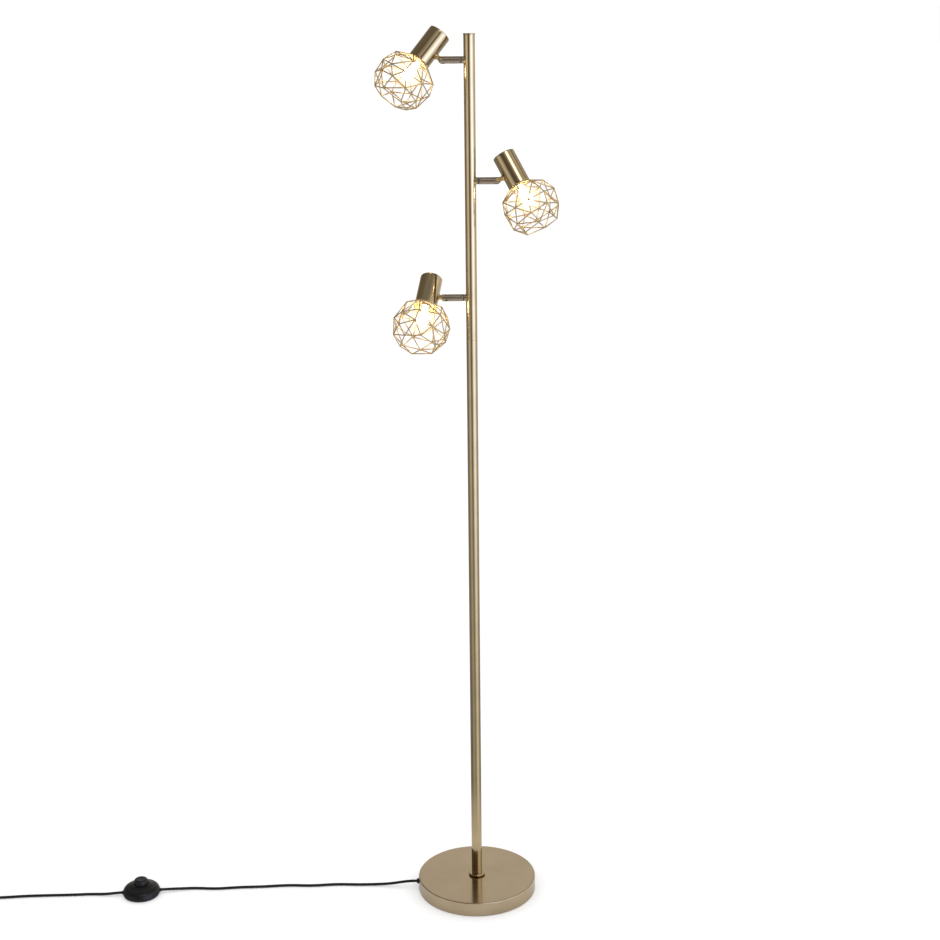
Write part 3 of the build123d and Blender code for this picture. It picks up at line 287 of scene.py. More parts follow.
# ---------------------------------------------------------------- node trees
def feed(tree: bpy.types.NodeTree, node: bpy.types.Node, inputs: dict[str | int, Input]) -> None:
    """Fill a node's inputs, each with a link from a socket or with a plain value.

    Args:
        tree: The tree that the node stands in.
        node: The node.
        inputs: What goes in, by the name or number of the input.
    """
    for key, value in inputs.items():
        if isinstance(value, bpy.types.NodeSocket):
            tree.links.new(value, node.inputs[key])
        else:
            node.inputs[key].default_value = value


def add_node(
    tree: bpy.types.NodeTree, kind: str, inputs: dict[str | int, Input], **settings: str
) -> bpy.types.Node:
    """Add a node with its settings and what goes into it.

    Args:
        tree: Tree of a material or of the world.
        kind: Blender's type of node, without its "ShaderNode".
        inputs: What goes in, by the name or number of the input.
        settings: The node's own settings, such as its operation.

    Returns:
        The node.
    """
    node = tree.nodes.new(f"ShaderNode{kind}")
    for name, value in settings.items():
        setattr(node, name, value)
    feed(tree, node, inputs)
    return node


def computed(
    tree: bpy.types.NodeTree, operation: str, first: Input, second: Input
) -> bpy.types.NodeSocket:
    """Add a Math node on two values and return its result."""
    return add_node(tree, "Math", {0: first, 1: second}, operation=operation).outputs["Value"]


def spanned(
    tree: bpy.types.NodeTree, value: bpy.types.NodeSocket, source: Span, target: Span = (0.0, 1.0)
) -> bpy.types.NodeSocket:
    """Carry a value v from the span a to b to the span c to d: c + (d - c) (v - a) / (b - a), held inside.

    Args:
        tree: The node tree.
        value: Socket of v.
        source: The ends a and b.
        target: The ends c and d.

    Returns:
        Socket of the result.
    """
    ends = {"From Min": source[0], "From Max": source[1], "To Min": target[0], "To Max": target[1]}
    return add_node(tree, "MapRange", {"Value": value, **ends}).outputs["Result"]


def grey(tone: float) -> tuple[float, float, float, float]:
    """Return a grey of this tone for a colour input."""
    return (tone, tone, tone, 1.0)


# ---------------------------------------------------------------- finishes
NOISE_SPAN = (0.3, 0.7)


@dataclass(frozen=True)
class Finish:
    """A surface finish: plain colour and gloss, with soft patches and a fine skin of its own.

    The patches are noise a few centimetres across that moves the colour and the roughness a little,
    and the skin is noise under a millimetre across that only tilts the surface.
    """

    name: str
    colour: Colour
    roughness: float
    metallic: float = 0.0
    coat: float = 0.0
    coat_roughness: float = 0.1
    tone_spread: float = 0.06
    roughness_spread: float = 0.06
    patch_size: float = 0.03
    skin_size: float = 0.0006
    skin_depth: float = 0.00001
    specular: float = 0.5

    def patches(self, tree: bpy.types.NodeTree, size: float, detail: float = 3.0) -> bpy.types.Node:
        """Add noise on the object's own coordinates.

        Args:
            tree: The material's node tree.
            size: Size of a patch in metres.
            detail: Number of finer layers in the noise.

        Returns:
            The noise node.
        """
        place = add_node(tree, "TexCoord", {}).outputs["Object"]
        return add_node(tree, "TexNoise", {"Vector": place, "Scale": 1 / size, "Detail": detail})

    def material(self) -> bpy.types.Material:
        """Make the node material, once for each finish.

        The middle of the noise, NOISE_SPAN, covers the whole spread of tone and of roughness.

        Returns:
            The material.
        """
        if self.name in bpy.data.materials:
            return bpy.data.materials[self.name]
        made = bpy.data.materials.new(self.name)
        made.use_nodes = True
        tree = made.node_tree
        shader = tree.nodes["Principled BSDF"]
        noise = self.patches(tree, self.patch_size).outputs["Fac"]
        tone = add_node(tree, "ValToRGB", {"Fac": noise})
        for stop, place, side in zip(tone.color_ramp.elements, NOISE_SPAN, (-1, 1)):
            scale = 1 + side * self.tone_spread
            stop.position = place
            stop.color = (*(min(1.0, channel * scale) for channel in self.colour), 1)
        low, high = (self.roughness * (1 + side * self.roughness_spread) for side in (-1, 1))
        skin = self.skin(tree).outputs["Fac"]
        bump = add_node(tree, "Bump", {"Height": skin, "Strength": 1.0, "Distance": self.skin_depth})
        surface = {
            "Base Color": tone.outputs["Color"],
            "Roughness": spanned(tree, noise, NOISE_SPAN, (low, high)),
            "Normal": bump.outputs["Normal"],
            "Metallic": self.metallic,
            "Coat Weight": self.coat,
            "Coat Roughness": self.coat_roughness,
            "Specular IOR Level": self.specular,
        }
        feed(tree, shader, surface)
        self.finish_off(made, shader)
        return made

    def skin(self, tree: bpy.types.NodeTree) -> bpy.types.Node:
        """Add the fine noise that tilts the surface."""
        return self.patches(tree, self.skin_size, detail=1.0)

    def finish_off(self, made: bpy.types.Material, shader: bpy.types.Node) -> None:
        """Set what only some finishes have."""

    def dress(self, *pieces: bpy.types.Object) -> None:
        """Put this finish on pieces, in place of what they carry.

        Args:
            pieces: Meshes or curves.
        """
        for piece in pieces:
            piece.data.materials.clear()
            piece.data.materials.append(self.material())


@dataclass(frozen=True)
class Brushed(Finish):
    """Metal brushed along one direction: the skin is noise drawn out along Z of the grain's own axes.

    A point p goes to its coordinates along the axes, and its Z is divided by the draw before the
    noise is read, so that a speck becomes a hair.
    """

    grain_size: float = 0.0005
    draw: float = 60.0
    grain_detail: float = 2.0
    axes: tuple[Point, ...] = ((1.0, 0.0, 0.0), (0.0, 1.0, 0.0), (0.0, 0.0, 1.0))

    def along(self, name: str, axes: Array) -> Brushed:
        """Return this finish under another name with its grain along the third of these axes."""
        return replace(self, name=name, axes=tuple(tuple(row) for row in axes.tolist()))

    def skin(self, tree: bpy.types.NodeTree) -> bpy.types.Node:
        """Add the drawn-out noise.

        Args:
            tree: The material's node tree.

        Returns:
            The noise node.
        """
        place = add_node(tree, "TexCoord", {}).outputs["Object"]
        turn = Matrix(self.axes).transposed().to_euler()
        grain = {"Vector": place, "Rotation": turn, "Scale": (1.0, 1.0, self.draw)}
        drawn = add_node(tree, "Mapping", grain, vector_type="TEXTURE").outputs["Vector"]
        speck = {"Vector": drawn, "Scale": 1 / self.grain_size, "Detail": self.grain_detail}
        return add_node(tree, "TexNoise", speck)


@dataclass(frozen=True)
class Glowing(Finish):
    """Part of a bulb that is switched on: a skin that gives off warm light evenly."""

    glow: Colour = (1.0, 0.9, 0.76)
    strength: float = 1.0

    def finish_off(self, made: bpy.types.Material, shader: bpy.types.Node) -> None:
        """Add the light that the bulb gives."""
        light = {"Emission Color": (*self.glow, 1), "Emission Strength": self.strength}
        feed(made.node_tree, shader, light)


@dataclass(frozen=True)
class ThinGlass(Finish):
    """Thin tinted glass: a share of frosted skin, and for the rest light goes straight through.

    What passes one wall is multiplied by the tint. The lit haze inside adds its glow times the
    length of the line of sight through it, in metres, so that it is softest at the bulb's edge.
    """

    tint: Colour = (1.0, 1.0, 1.0)
    frosting: float = 0.05
    glow: Colour = (1.0, 0.88, 0.68)
    haze: float = 0.0

    def finish_off(self, made: bpy.types.Material, shader: bpy.types.Node) -> None:
        """Mix the skin with clear tinted glass, and add the haze inside.

        Args:
            made: The material.
            shader: Its shader, which is the frosted skin.
        """
        tree = made.node_tree
        clear = add_node(tree, "BsdfTransparent", {"Color": (*self.tint, 1)}).outputs["BSDF"]
        walls = {"Fac": self.frosting, 1: clear, 2: shader.outputs["BSDF"]}
        inside = {"Color": (*self.glow, 1), "Strength": self.haze}
        ends = {
            "Surface": add_node(tree, "MixShader", walls).outputs["Shader"],
            "Volume": add_node(tree, "Emission", inside).outputs["Emission"],
        }
        feed(tree, tree.nodes["Material Output"], ends)


BRASS = Brushed("satin_brass_tube", (0.50, 0.39, 0.225), 0.11, 1.0, coat=0.35, coat_roughness=0.05)
BASE_BRASS = Finish("satin_brass_base", (0.49, 0.39, 0.255), 0.16, 1.0, coat=0.15, patch_size=0.06)
ARM_BRASS = Brushed("satin_brass_arm", (0.40, 0.33, 0.25), 0.22, 1.0, coat=0.2, patch_size=0.02)
KNUCKLE_BRASS = Finish("bright_brass_knuckle", (0.62, 0.47, 0.20), 0.22, 1.0, coat=0.2, patch_size=0.01)
WIRE_BRASS = Finish("brass_cage_wire", (0.52, 0.385, 0.20), 0.3, 0.7, coat=0.1, patch_size=0.012)
ZINC = Finish("zinc_plated_steel", (0.55, 0.56, 0.56), 0.35, 1.0, patch_size=0.01)
CEMENT = Finish(
    "cast_cement", (0.42, 0.41, 0.39), 0.9, tone_spread=0.15, skin_size=0.002, skin_depth=0.0002
)
PAD_RUBBER = Finish("foam_rubber_pad", (0.02, 0.02, 0.02), 0.85, skin_size=0.001, skin_depth=0.0001)
SWITCH_BLACK = Finish("moulded_black_plastic", (0.008, 0.008, 0.0085), 0.3, specular=0.25)
BUTTON_BLACK = Finish("button_black_plastic", (0.011, 0.011, 0.013), 0.3, specular=0.3)
CORD_BLACK = Finish("cord_sheath_black", (0.008, 0.008, 0.009), 0.4, patch_size=0.02, specular=0.3)
NYLON = Finish("dark_nylon", (0.035, 0.03, 0.026), 0.5, patch_size=0.006)
# Pale lining for the cups' insides, paler than their brass: the bulb's real light falls on it, and its
# pale colour paints a yellow glow in the mouth.
CUP_GLOW_LINING = Finish("pale_lining_painted_glow", (0.92, 0.80, 0.46), 0.45, coat=0.2, patch_size=0.012)
SOCKET_CREAM = Finish("lampholder_ceramic", (0.86, 0.79, 0.56), 0.35, patch_size=0.01)
TERMINAL_WHITE = Finish("terminal_nylon", (0.78, 0.78, 0.74), 0.5, patch_size=0.01)
CAP_METAL = Finish("bulb_cap_aluminium", (0.72, 0.71, 0.69), 0.25, 1.0, patch_size=0.008)
PIN_METAL = Finish("nickel_plug_pin", (0.66, 0.64, 0.6), 0.2, 1.0, patch_size=0.008)
BULB_GLASS = ThinGlass(
    "frosted_bulb",
    (0.90, 0.83, 0.74),
    0.6,
    specular=0.2,
    tone_spread=0.02,
    tint=(0.94, 0.865, 0.765),
    haze=16.0,
)
BULB_CORE = Glowing(
    "lit_bulb_core", (0.9, 0.88, 0.8), 0.5, tone_spread=0.02, glow=(1.0, 0.86, 0.6), strength=20.0
)


# ---------------------------------------------------------------- sub-assemblies
@dataclass
class WeightedBase:
    """Round base: a pressed brass cover over a cement weight, with a collar round the pole's foot."""

    radius: float = 107.75
    height: float = 26.5
    wall: float = 1.2
    edge: float = 1.6
    lift: float = 0.8
    lift_edge: float = 0.3
    rod_hole: float = 5.3
    collar_radius: float = 15.0
    collar_foot: float = 10.7
    collar_bore: float = 9.6
    collar_height: float = 4.4
    collar_rim: float = 0.8
    seat_width: float = 1.6
    seat_depth: float = 0.5

    def cover(self) -> bpy.types.Object:
        """Pressed cover: one closed profile of the outside, the hole for the rod and the inside.

        Returns:
            The cover.
        """
        inner = self.radius - self.wall
        top = self.height
        profile = profile_of(
            (inner, self.lift),
            (self.radius - self.lift_edge, self.lift),
            (self.radius, self.lift + self.lift_edge),
            (self.radius, top - 2 * self.edge),
            arc((self.radius - self.edge, top - self.edge), self.edge, 0, 90, 8),
            (self.radius - 3 * self.edge, top),
            (self.collar_radius, top),
            (self.rod_hole, top),
            (self.rod_hole, top - self.wall),
            (inner, top - self.wall),
        )
        piece = revolved("base_cover_pressed", profile, WORLD, segments=256, loop=True)
        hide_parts("base_cover")
        BASE_BRASS.dress(piece)
        return piece

    def collar(self) -> bpy.types.Object:
        """Turned collar: a shallow dish that widens upwards, with a rolled rim and a stepped seat.

        Returns:
            The collar.
        """
        low, top = self.height, self.height + self.collar_height
        rim = self.collar_rim
        profile = profile_of(
            (self.collar_bore, low),
            (self.collar_foot, low),
            (self.collar_foot + 0.4, low + 0.5),
            arc((self.collar_radius - rim, top - 2 * rim), rim, -60, 0, 5),
            arc((self.collar_radius - rim, top - rim), rim, 0, 90, 6),
            (self.collar_bore + self.seat_width + 0.6, top),
            (self.collar_bore + self.seat_width, top - self.seat_depth),
            (self.collar_bore, top - self.seat_depth),
        )
        piece = revolved("foot_collar_turned", profile, WORLD, segments=96, loop=True)
        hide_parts("foot_collar")
        BRASS.dress(piece)
        return piece

    def build(self) -> list[bpy.types.Object]:
        """Make the base's pieces."""
        return [self.cover(), self.collar()]


@dataclass
class Pole:
    """Upright tube in three joined sections, with a flat cap on top."""

    radius: float = 9.5
    bore: float = 8.3
    section_ends: tuple[float, ...] = (26.5, 531.0, 1036.0, 1537.8)
    section_nodes: tuple[str, ...] = ("pole_lower", "pole_middle", "pole_upper")
    joint_edge: float = 0.22
    cap_radius: float = 9.9
    cap_top: float = 1540.0
    cap_crown: float = 0.7
    plug_radius: float = 8.25
    plug_length: float = 7.0

    def sections(self) -> list[bpy.types.Object]:
        """Tubes with softly rounded ends, so that a joint shows as a fine line.

        Returns:
            The tubes, the lowest first.
        """
        made = []
        for low, high, node in zip(self.section_ends, self.section_ends[1:], self.section_nodes):
            profile = rounded_tube(self.radius, self.bore, low, high, self.joint_edge)
            piece = revolved(f"{node}_tube", profile, WORLD, segments=96, loop=True)
            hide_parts(node)
            BRASS.dress(piece)
            made.append(piece)
        return made

    def cap(self) -> bpy.types.Object:
        """Flat cap with a crowned edge and the plug that holds it in the tube.

        Returns:
            The cap.
        """
        low = self.section_ends[-1]
        crown = self.cap_crown
        profile = profile_of(
            (0, low - self.plug_length),
            (self.plug_radius, low - self.plug_length),
            (self.plug_radius, low),
            (self.cap_radius - 0.2, low),
            (self.cap_radius, low + 0.2),
            arc((self.cap_radius - crown, self.cap_top - crown), crown, 0, 90, 5),
            (0, self.cap_top),
        )
        piece = revolved("pole_top_cap_crowned", profile, WORLD, segments=96)
        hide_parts("pole_top_cap")
        BRASS.dress(piece)
        return piece

    def build(self) -> list[bpy.types.Object]:
        """Make the pole's pieces."""
        return [*self.sections(), self.cap()]


@dataclass
class SwivelArm:
    """Short arm on the pole: it turns about its own axis and carries a head's knuckle."""

    number: int
    side: Side
    height: float
    swivel: float
    radius: float = 6.0
    bore: float = 4.08
    start: float = 14.6
    end: float = 38.0
    start_edge: float = 0.4
    end_edge: float = 0.2
    groove_place: float = 1.6
    groove_depth: float = 0.25

    def frame(self) -> Frame:
        """Frame on the arm's axis at the pole's middle: X outwards, swivelled as the arm stands.

        Returns:
            The frame.
        """
        x = np.array([float(self.side.value), 0.0, 0.0])
        z = np.array([0.0, 0.0, 1.0])
        foot = Frame(np.array([0.0, 0.0, self.height * MM]), np.stack([x, np.cross(z, x), z]))
        return foot.turned(0, -self.side.value * self.swivel)

    def along(self) -> Frame:
        """Frame whose Z runs out along the arm."""
        frame = self.frame()
        return Frame(frame.origin, frame.axes[[1, 2, 0]])

    def tube(self) -> bpy.types.Object:
        """Turned sleeve with rounded ends and a fine groove beside the pole.

        Returns:
            The sleeve.
        """
        groove, edge, tip = self.start + self.groove_place, self.start_edge, self.end_edge
        profile = profile_of(
            (self.bore, self.start),
            (self.radius - edge, self.start),
            arc((self.radius - edge, self.start + edge), edge, -90, 0, 4)[1:],
            (self.radius, self.start + 2 * edge),
            (self.radius, groove),
            (self.radius - self.groove_depth, groove + 0.2),
            (self.radius, groove + 0.4),
            (self.radius, groove + 0.8),
            (self.radius, self.end - 4 * tip),
            (self.radius, self.end - tip),
            (self.radius - tip, self.end),
            (self.bore, self.end),
        )
        piece = revolved(f"arm_{self.number}_sleeve", profile, self.along(), segments=64, loop=True)
        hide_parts(f"arm_tube_{self.number}")
        ARM_BRASS.along(f"satin_brass_arm_{self.number}", self.along().axes).dress(piece)
        return piece

    def build(self) -> list[bpy.types.Object]:
        """Make the arm's pieces."""
        return [self.tube()]


@dataclass
class WireCage:
    """Cage of straight wires welded in uneven triangles over a ball, open at the bottom.

    Welds lie on rings about the holder's axis. Ring weld k stands at an even step plus a sine
    wobble, and its depth moves by a cosine wobble, as in the part's solids.
    """

    radius: float = 48.0
    below_mouth: float = 41.0
    wire: float = 2.0
    rim_radius: float = 18.5
    rim_drop: float = 1.1
    rim_welds: int = 6
    rings: tuple[tuple[float, int, float], ...] = (
        (-27.5, 7, 45.0),
        (-3.5, 9, 0.0),
        (17.5, 9, 22.0),
        (36.0, 6, 10.0),
    )
    turn_wobble: float = 7.0
    rise_wobble: float = 3.2
    wobble_step: float = 137.5
    bead: float = 1.15
    bead_rows: int = 7
    bead_columns: int = 10
    sides: int = 12
    rim_steps: int = 72

    def ring(self, number: int) -> Array:
        """Welds of one ring on the ball, in the head's frame and in millimetres.

        Args:
            number: Number of the ring, 0 for the upper one.

        Returns:
            Their places, in order round the ring.
        """
        drop, count, first = self.rings[number]
        k = np.arange(count)
        swing = np.radians(self.wobble_step * (k + 1) * (number + 1))
        turn = np.radians(first + 360 / count * k + self.turn_wobble * np.sin(swing))
        level = number == len(self.rings) - 1
        depth = drop + self.rise_wobble * np.cos(swing) * (0 if level else 1)
        reach = np.sqrt(self.radius**2 - depth**2)
        return turned_points(reach, -self.below_mouth - depth, turn)

    @staticmethod
    def laced(upper: Array, lower: Array) -> list[tuple[Array, Array]]:
        """Join two rings in a zigzag all the way round, each time by the shorter wire.

        Args:
            upper: Welds of the upper ring, in order.
            lower: Welds of the lower ring, in order.

        Returns:
            Both ends of each wire.
        """
        start = int(np.argmin(np.linalg.norm(lower - upper[0], axis=1)))
        over = np.vstack([upper, upper[:1]])
        under = np.vstack([lower[start:], lower[: start + 1]])
        pairs = []
        i = j = 0
        while i < len(upper) or j < len(lower):
            pairs.append((over[i], under[j]))
            if j == len(lower):
                i += 1
            elif i == len(upper):
                j += 1
            elif np.linalg.norm(over[i] - under[j + 1]) < np.linalg.norm(over[i + 1] - under[j]):
                j += 1
            else:
                i += 1
        return pairs

    def wires(self) -> tuple[Array, Array]:
        """Start and end of every straight wire, and so every weld, in millimetres.

        Returns:
            The starts and the ends.
        """
        rim = turned_points(self.rim_radius, -self.rim_drop, angles(self.rim_welds))
        levels = [rim] + [self.ring(number) for number in range(len(self.rings))]
        pairs: list[tuple[Array, Array]] = []
        for upper, lower in zip(levels, levels[1:]):
            pairs += self.laced(upper, lower)
            pairs += list(zip(lower, np.roll(lower, -1, axis=0)))
        return np.array([a for a, _ in pairs]), np.array([b for _, b in pairs])

    def rods(self, starts: Array, ends: Array) -> tuple[Array, Array]:
        """All wires at once: circles of the wire's radius at both ends, closed by domed tips.

        A circle that stands t r past an end, with radius f r, is end + t r d + f r (cos a u + sin a v),
        with u and v square to the wire's direction d.

        Args:
            starts: Where the wires start.
            ends: Where they end.

        Returns:
            The points, and the quads by their numbers.
        """
        radius = self.wire / 2
        along = ends - starts
        along /= np.linalg.norm(along, axis=1, keepdims=True)
        helper = np.where(np.abs(along[:, 2:]) < 0.9, [[0.0, 0.0, 1.0]], [[1.0, 0.0, 0.0]])
        u = np.cross(along, helper)
        u /= np.linalg.norm(u, axis=1, keepdims=True)
        v = np.cross(along, u)
        angle = angles(self.sides)
        ring = np.cos(angle)[:, None] * u[:, None, :] + np.sin(angle)[:, None] * v[:, None, :]
        dome = ((0.95, 0.02), (0.6, 0.75), (0.0, 1.0))
        rows = [starts - past * radius * along for past, _ in dome]
        rows += [ends + past * radius * along for past, _ in reversed(dome)]
        shares = [share for _, share in dome + dome[::-1]]
        circles = [row[:, None, :] + share * radius * ring for row, share in zip(rows, shares)]
        points = np.stack(circles, axis=1)
        count = points.shape[1] * self.sides
        quads = grid_faces(len(rows), self.sides)
        offsets = np.arange(len(starts))[:, None, None] * count
        return points.reshape(-1, 3), (quads[None] + offsets).reshape(-1, 4)

    def beads(self, spots: Array, start: int) -> tuple[Array, Array]:
        """Small weld beads: a ball about each weld, of points (cos b cos a, cos b sin a, sin b).

        Args:
            spots: The welds.
            start: Number of the first bead's first vertex.

        Returns:
            The points, and the quads by their numbers.
        """
        lat = np.radians(np.linspace(-89.5, 89.5, self.bead_rows))[:, None]
        ball = turned_points(np.cos(lat), np.sin(lat), angles(self.bead_columns))
        points = spots[:, None, :] + self.wire / 2 * self.bead * ball
        quads = grid_faces(self.bead_rows, self.bead_columns)
        offsets = np.arange(len(spots))[:, None, None] * len(ball)
        return points.reshape(-1, 3), (quads[None] + offsets + start).reshape(-1, 4)

    def rim(self, start: int) -> tuple[Array, Array]:
        """Round rim against the holder's mouth: a torus of the wire's radius.

        Args:
            start: Number of its first vertex.

        Returns:
            The points, and the quads by their numbers.
        """
        turn = angles(self.rim_steps)[:, None]
        angle = angles(self.sides)
        reach = self.rim_radius + self.wire / 2 * np.cos(angle)
        level = self.wire / 2 * np.sin(angle) - self.rim_drop
        points = turned_points(reach, level, turn)
        return points, grid_faces(self.rim_steps, self.sides, wrap_rows=True, start=start)

    def build(self, name: str, frame: Frame) -> bpy.types.Object:
        """Make the cage as one piece.

        Args:
            name: Name of the piece.
            frame: The head's frame, already turned by the cage's own turn.

        Returns:
            The cage.
        """
        starts, ends = self.wires()
        rods, rod_faces = self.rods(starts, ends)
        rim, rim_faces = self.rim(len(rods))
        spots = np.unique(np.round(np.vstack([starts, ends]), 6), axis=0)
        beads, bead_faces = self.beads(spots, len(rods) + len(rim))
        vertices = frame.place(np.vstack([rods, rim, beads]) * MM)
        return finished_mesh(name, vertices, [rod_faces, rim_faces, bead_faces], sharp=60)


@dataclass
class LampHead:
    """Spot head: a cup on a knuckle with a lampholder, a bulb and a wire cage."""

    arm: SwivelArm
    tilt: float
    cage_turn: float
    pivot_reach: float = 45.5
    offset: float = 28.5
    knuckle_height: float = 23.0
    radius: float = 19.0
    length: float = 58.0
    wall: float = 1.0
    edge: float = 1.5
    bulb_radius: float = 22.5
    bulb_below: float = 30.0
    neck_radius: float = 6.6
    core_radius: float = 10.0
    core_rise: float = 2.0
    core_gap: float = 1.4
    flare: float = 9.0
    bulb_length: float = 78.0
    cap_radius: float = 6.95
    cap_length: float = 27.0
    cap_cone: float = 4.5
    skirt_radius: float = 8.0
    skirt_length: float = 3.0
    thread_pitch: float = 2.82
    thread_depth: float = 0.35
    thread_fade: float = 1.5
    thread_rows: int = 60
    cap_steps: int = 64
    contact_radius: float = 3.0
    socket_radius: float = 14.0
    socket_flange: float = 17.0
    socket_mouth: float = 3.0
    socket_entry: float = 8.3
    socket_entry_end: float = 6.5
    socket_bore: float = 7.35
    socket_bore_end: float = 25.6
    grip_rings: tuple[float, ...] = (15.0, 12.0, 9.0, 6.0)
    grip_depth: float = 0.6
    cage: WireCage = field(default_factory=WireCage)

    @property
    def number(self) -> int:
        """Number of the head, counted from the top."""
        return self.arm.number

    def frame(self) -> Frame:
        """Frame at the middle of the cup's mouth: Z up the cup, X away from the arm.

        Returns:
            The frame.
        """
        pivot = self.arm.frame().shifted(x=self.pivot_reach * MM).turned(1, -self.tilt)
        return pivot.shifted(x=self.offset * MM, z=-self.knuckle_height * MM)

    def cup(self) -> bpy.types.Object:
        """Drawn cup: closed top with a rounded edge, open mouth with a rolled lip.

        Returns:
            The cup, with a pale lining as a second material: the bulb lights it, and its pale colour
            paints a brighter yellow glow in the mouth.
        """
        outer, inner, top, edge = self.radius, self.radius - self.wall, self.length, self.edge
        lip = self.wall / 2
        profile = profile_of(
            (0, top),
            (outer - 4 * edge, top),
            arc((outer - edge, top - edge), edge, 90, 0, 8),
            (outer, top - 3 * edge),
            (outer, 3 * lip),
            arc((outer - lip, lip), lip, 0, -180, 8),
            (inner, 3 * lip),
            (inner, top - self.wall - 0.5),
            (inner - 0.5, top - self.wall),
            (0, top - self.wall),
        )
        frame = self.frame()
        piece = revolved(f"head_{self.number}_cup", profile, frame, segments=128)
        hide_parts(f"holder_{self.number}")
        BRASS.along(f"satin_brass_head_{self.number}", frame.axes).dress(piece)
        # Inner faces get the pale lining, which paints the bulb's glow inside the mouth.
        piece.data.materials.append(CUP_GLOW_LINING.material())
        spots = frame.local(np.array([face.center for face in piece.data.polygons])) / MM
        glow_lined = (np.hypot(spots[:, 0], spots[:, 1]) < inner + lip) & (spots[:, 2] < top - lip)
        piece.data.polygons.foreach_set("material_index", glow_lined.astype(np.int32))
        return piece

    def socket(self) -> bpy.types.Object:
        """Moulded lampholder inside the cup, with turned grip rings near its mouth.

        Returns:
            The lampholder.
        """
        top, mouth, entry = self.length - self.wall, self.socket_mouth, self.socket_entry
        outer, groove = self.socket_radius, self.socket_radius - self.grip_depth
        rings = [
            point
            for low in self.grip_rings
            for point in ((groove, low + 1.9), (outer, low + 1.4), (outer, low + 0.5), (groove, low))
        ]
        profile = profile_of(
            (0, top),
            (self.socket_flange, top),
            (self.socket_flange, top - 3.0),
            (outer, top - 6.0),
            *rings,
            (outer, mouth + 1.6),
            (groove, mouth),
            (entry + 0.3, mouth),
            (entry, mouth + 0.3),
            (entry, self.socket_entry_end),
            (self.socket_bore, self.socket_entry_end),
            (self.socket_bore, self.socket_bore_end),
            (0, self.socket_bore_end),
        )
        piece = revolved(f"head_{self.number}_lampholder", profile, self.frame(), segments=64)
        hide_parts(f"lampholder_{self.number}")
        SOCKET_CREAM.dress(piece)
        return piece

    def screw_cap(self) -> bpy.types.Object:
        """Screw cap of the bulb: each row has radius r - d (1 - cos(2 pi h / pitch - a)) / 2.

        The depth d is that of the thread, faded out at both of its ends, and 0 on the other rows.

        Returns:
            The cap.
        """
        contact = self.bulb_length - self.bulb_below - self.bulb_radius
        low = contact - self.cap_length
        skirt = low + self.skirt_length
        level = np.linspace(skirt + 0.6, contact - self.cap_cone, self.thread_rows)
        inset = np.minimum(level - level[0], level[-1] - level)
        thread = [0 * level + self.cap_radius, level, np.clip(inset / self.thread_fade, 0, 1)]
        rows = np.vstack(
            [
                (0.0, low, 0.0),
                (self.skirt_radius, low, 0.0),
                (self.skirt_radius, skirt - 0.8, 0.0),
                np.stack(thread, axis=-1),
                (self.contact_radius, contact, 0.0),
                (0.0, contact, 0.0),
            ]
        )
        radius, height, share = rows.T[:, :, None]
        angle = angles(self.cap_steps)
        wave = (1 - np.cos(2 * math.pi * height / self.thread_pitch - angle)) / 2
        points = turned_points(radius - self.thread_depth * share * wave, height, angle) * MM
        faces = [grid_faces(len(rows), self.cap_steps)]
        piece = finished_mesh(f"head_{self.number}_bulb_cap", self.frame().place(points), faces)
        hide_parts(f"bulb_cap_{self.number}")
        CAP_METAL.dress(piece)
        return piece

    def globe(self) -> bpy.types.Object:
        """Glass bulb: a ball joined to its neck by a flare that touches both.

        Returns:
            The bulb.
        """
        reach = self.bulb_radius + self.flare
        flare_x = self.neck_radius + self.flare
        flare_z = -self.bulb_below + math.sqrt(reach**2 - flare_x**2)
        joint = math.degrees(math.atan2(flare_z + self.bulb_below, flare_x))
        low = self.bulb_length - self.bulb_below - self.bulb_radius - self.cap_length
        profile = profile_of(
            (0, low),
            (self.neck_radius, low),
            arc((flare_x, flare_z), self.flare, 180, 180 + joint, 12),
            arc((0, -self.bulb_below), self.bulb_radius, joint, -90, 40)[1:],
        )
        profile[-1, 0] = 0.0
        piece = revolved(f"head_{self.number}_bulb", profile, self.frame(), segments=96)
        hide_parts(f"bulb_globe_{self.number}")
        BULB_GLASS.dress(piece)
        return piece

    def core(self) -> bpy.types.Object:
        """Lit core inside the bulb: a drop that narrows into the neck.

        Returns:
            The core.
        """
        neck = self.neck_radius - self.core_gap
        drop = arc((0, self.core_rise - self.bulb_below), self.core_radius, 55, -90, 28)
        profile = profile_of((0, -2.0), (neck * 0.7, -2.0), (neck, -6.0), drop)
        profile[-1, 0] = 0.0
        piece = revolved(f"head_{self.number}_bulb_core", profile, self.frame(), segments=64)
        BULB_CORE.dress(piece)
        return piece

    def build(self) -> list[bpy.types.Object]:
        """Make the head's pieces.

        Returns:
            The cup, lampholder, bulb and cage.
        """
        cage = self.cage.build(f"head_{self.number}_cage", self.frame().turned(2, self.cage_turn))
        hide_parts(f"cage_{self.number}")
        WIRE_BRASS.dress(cage)
        return [self.cup(), self.socket(), self.screw_cap(), self.globe(), self.core(), cage]


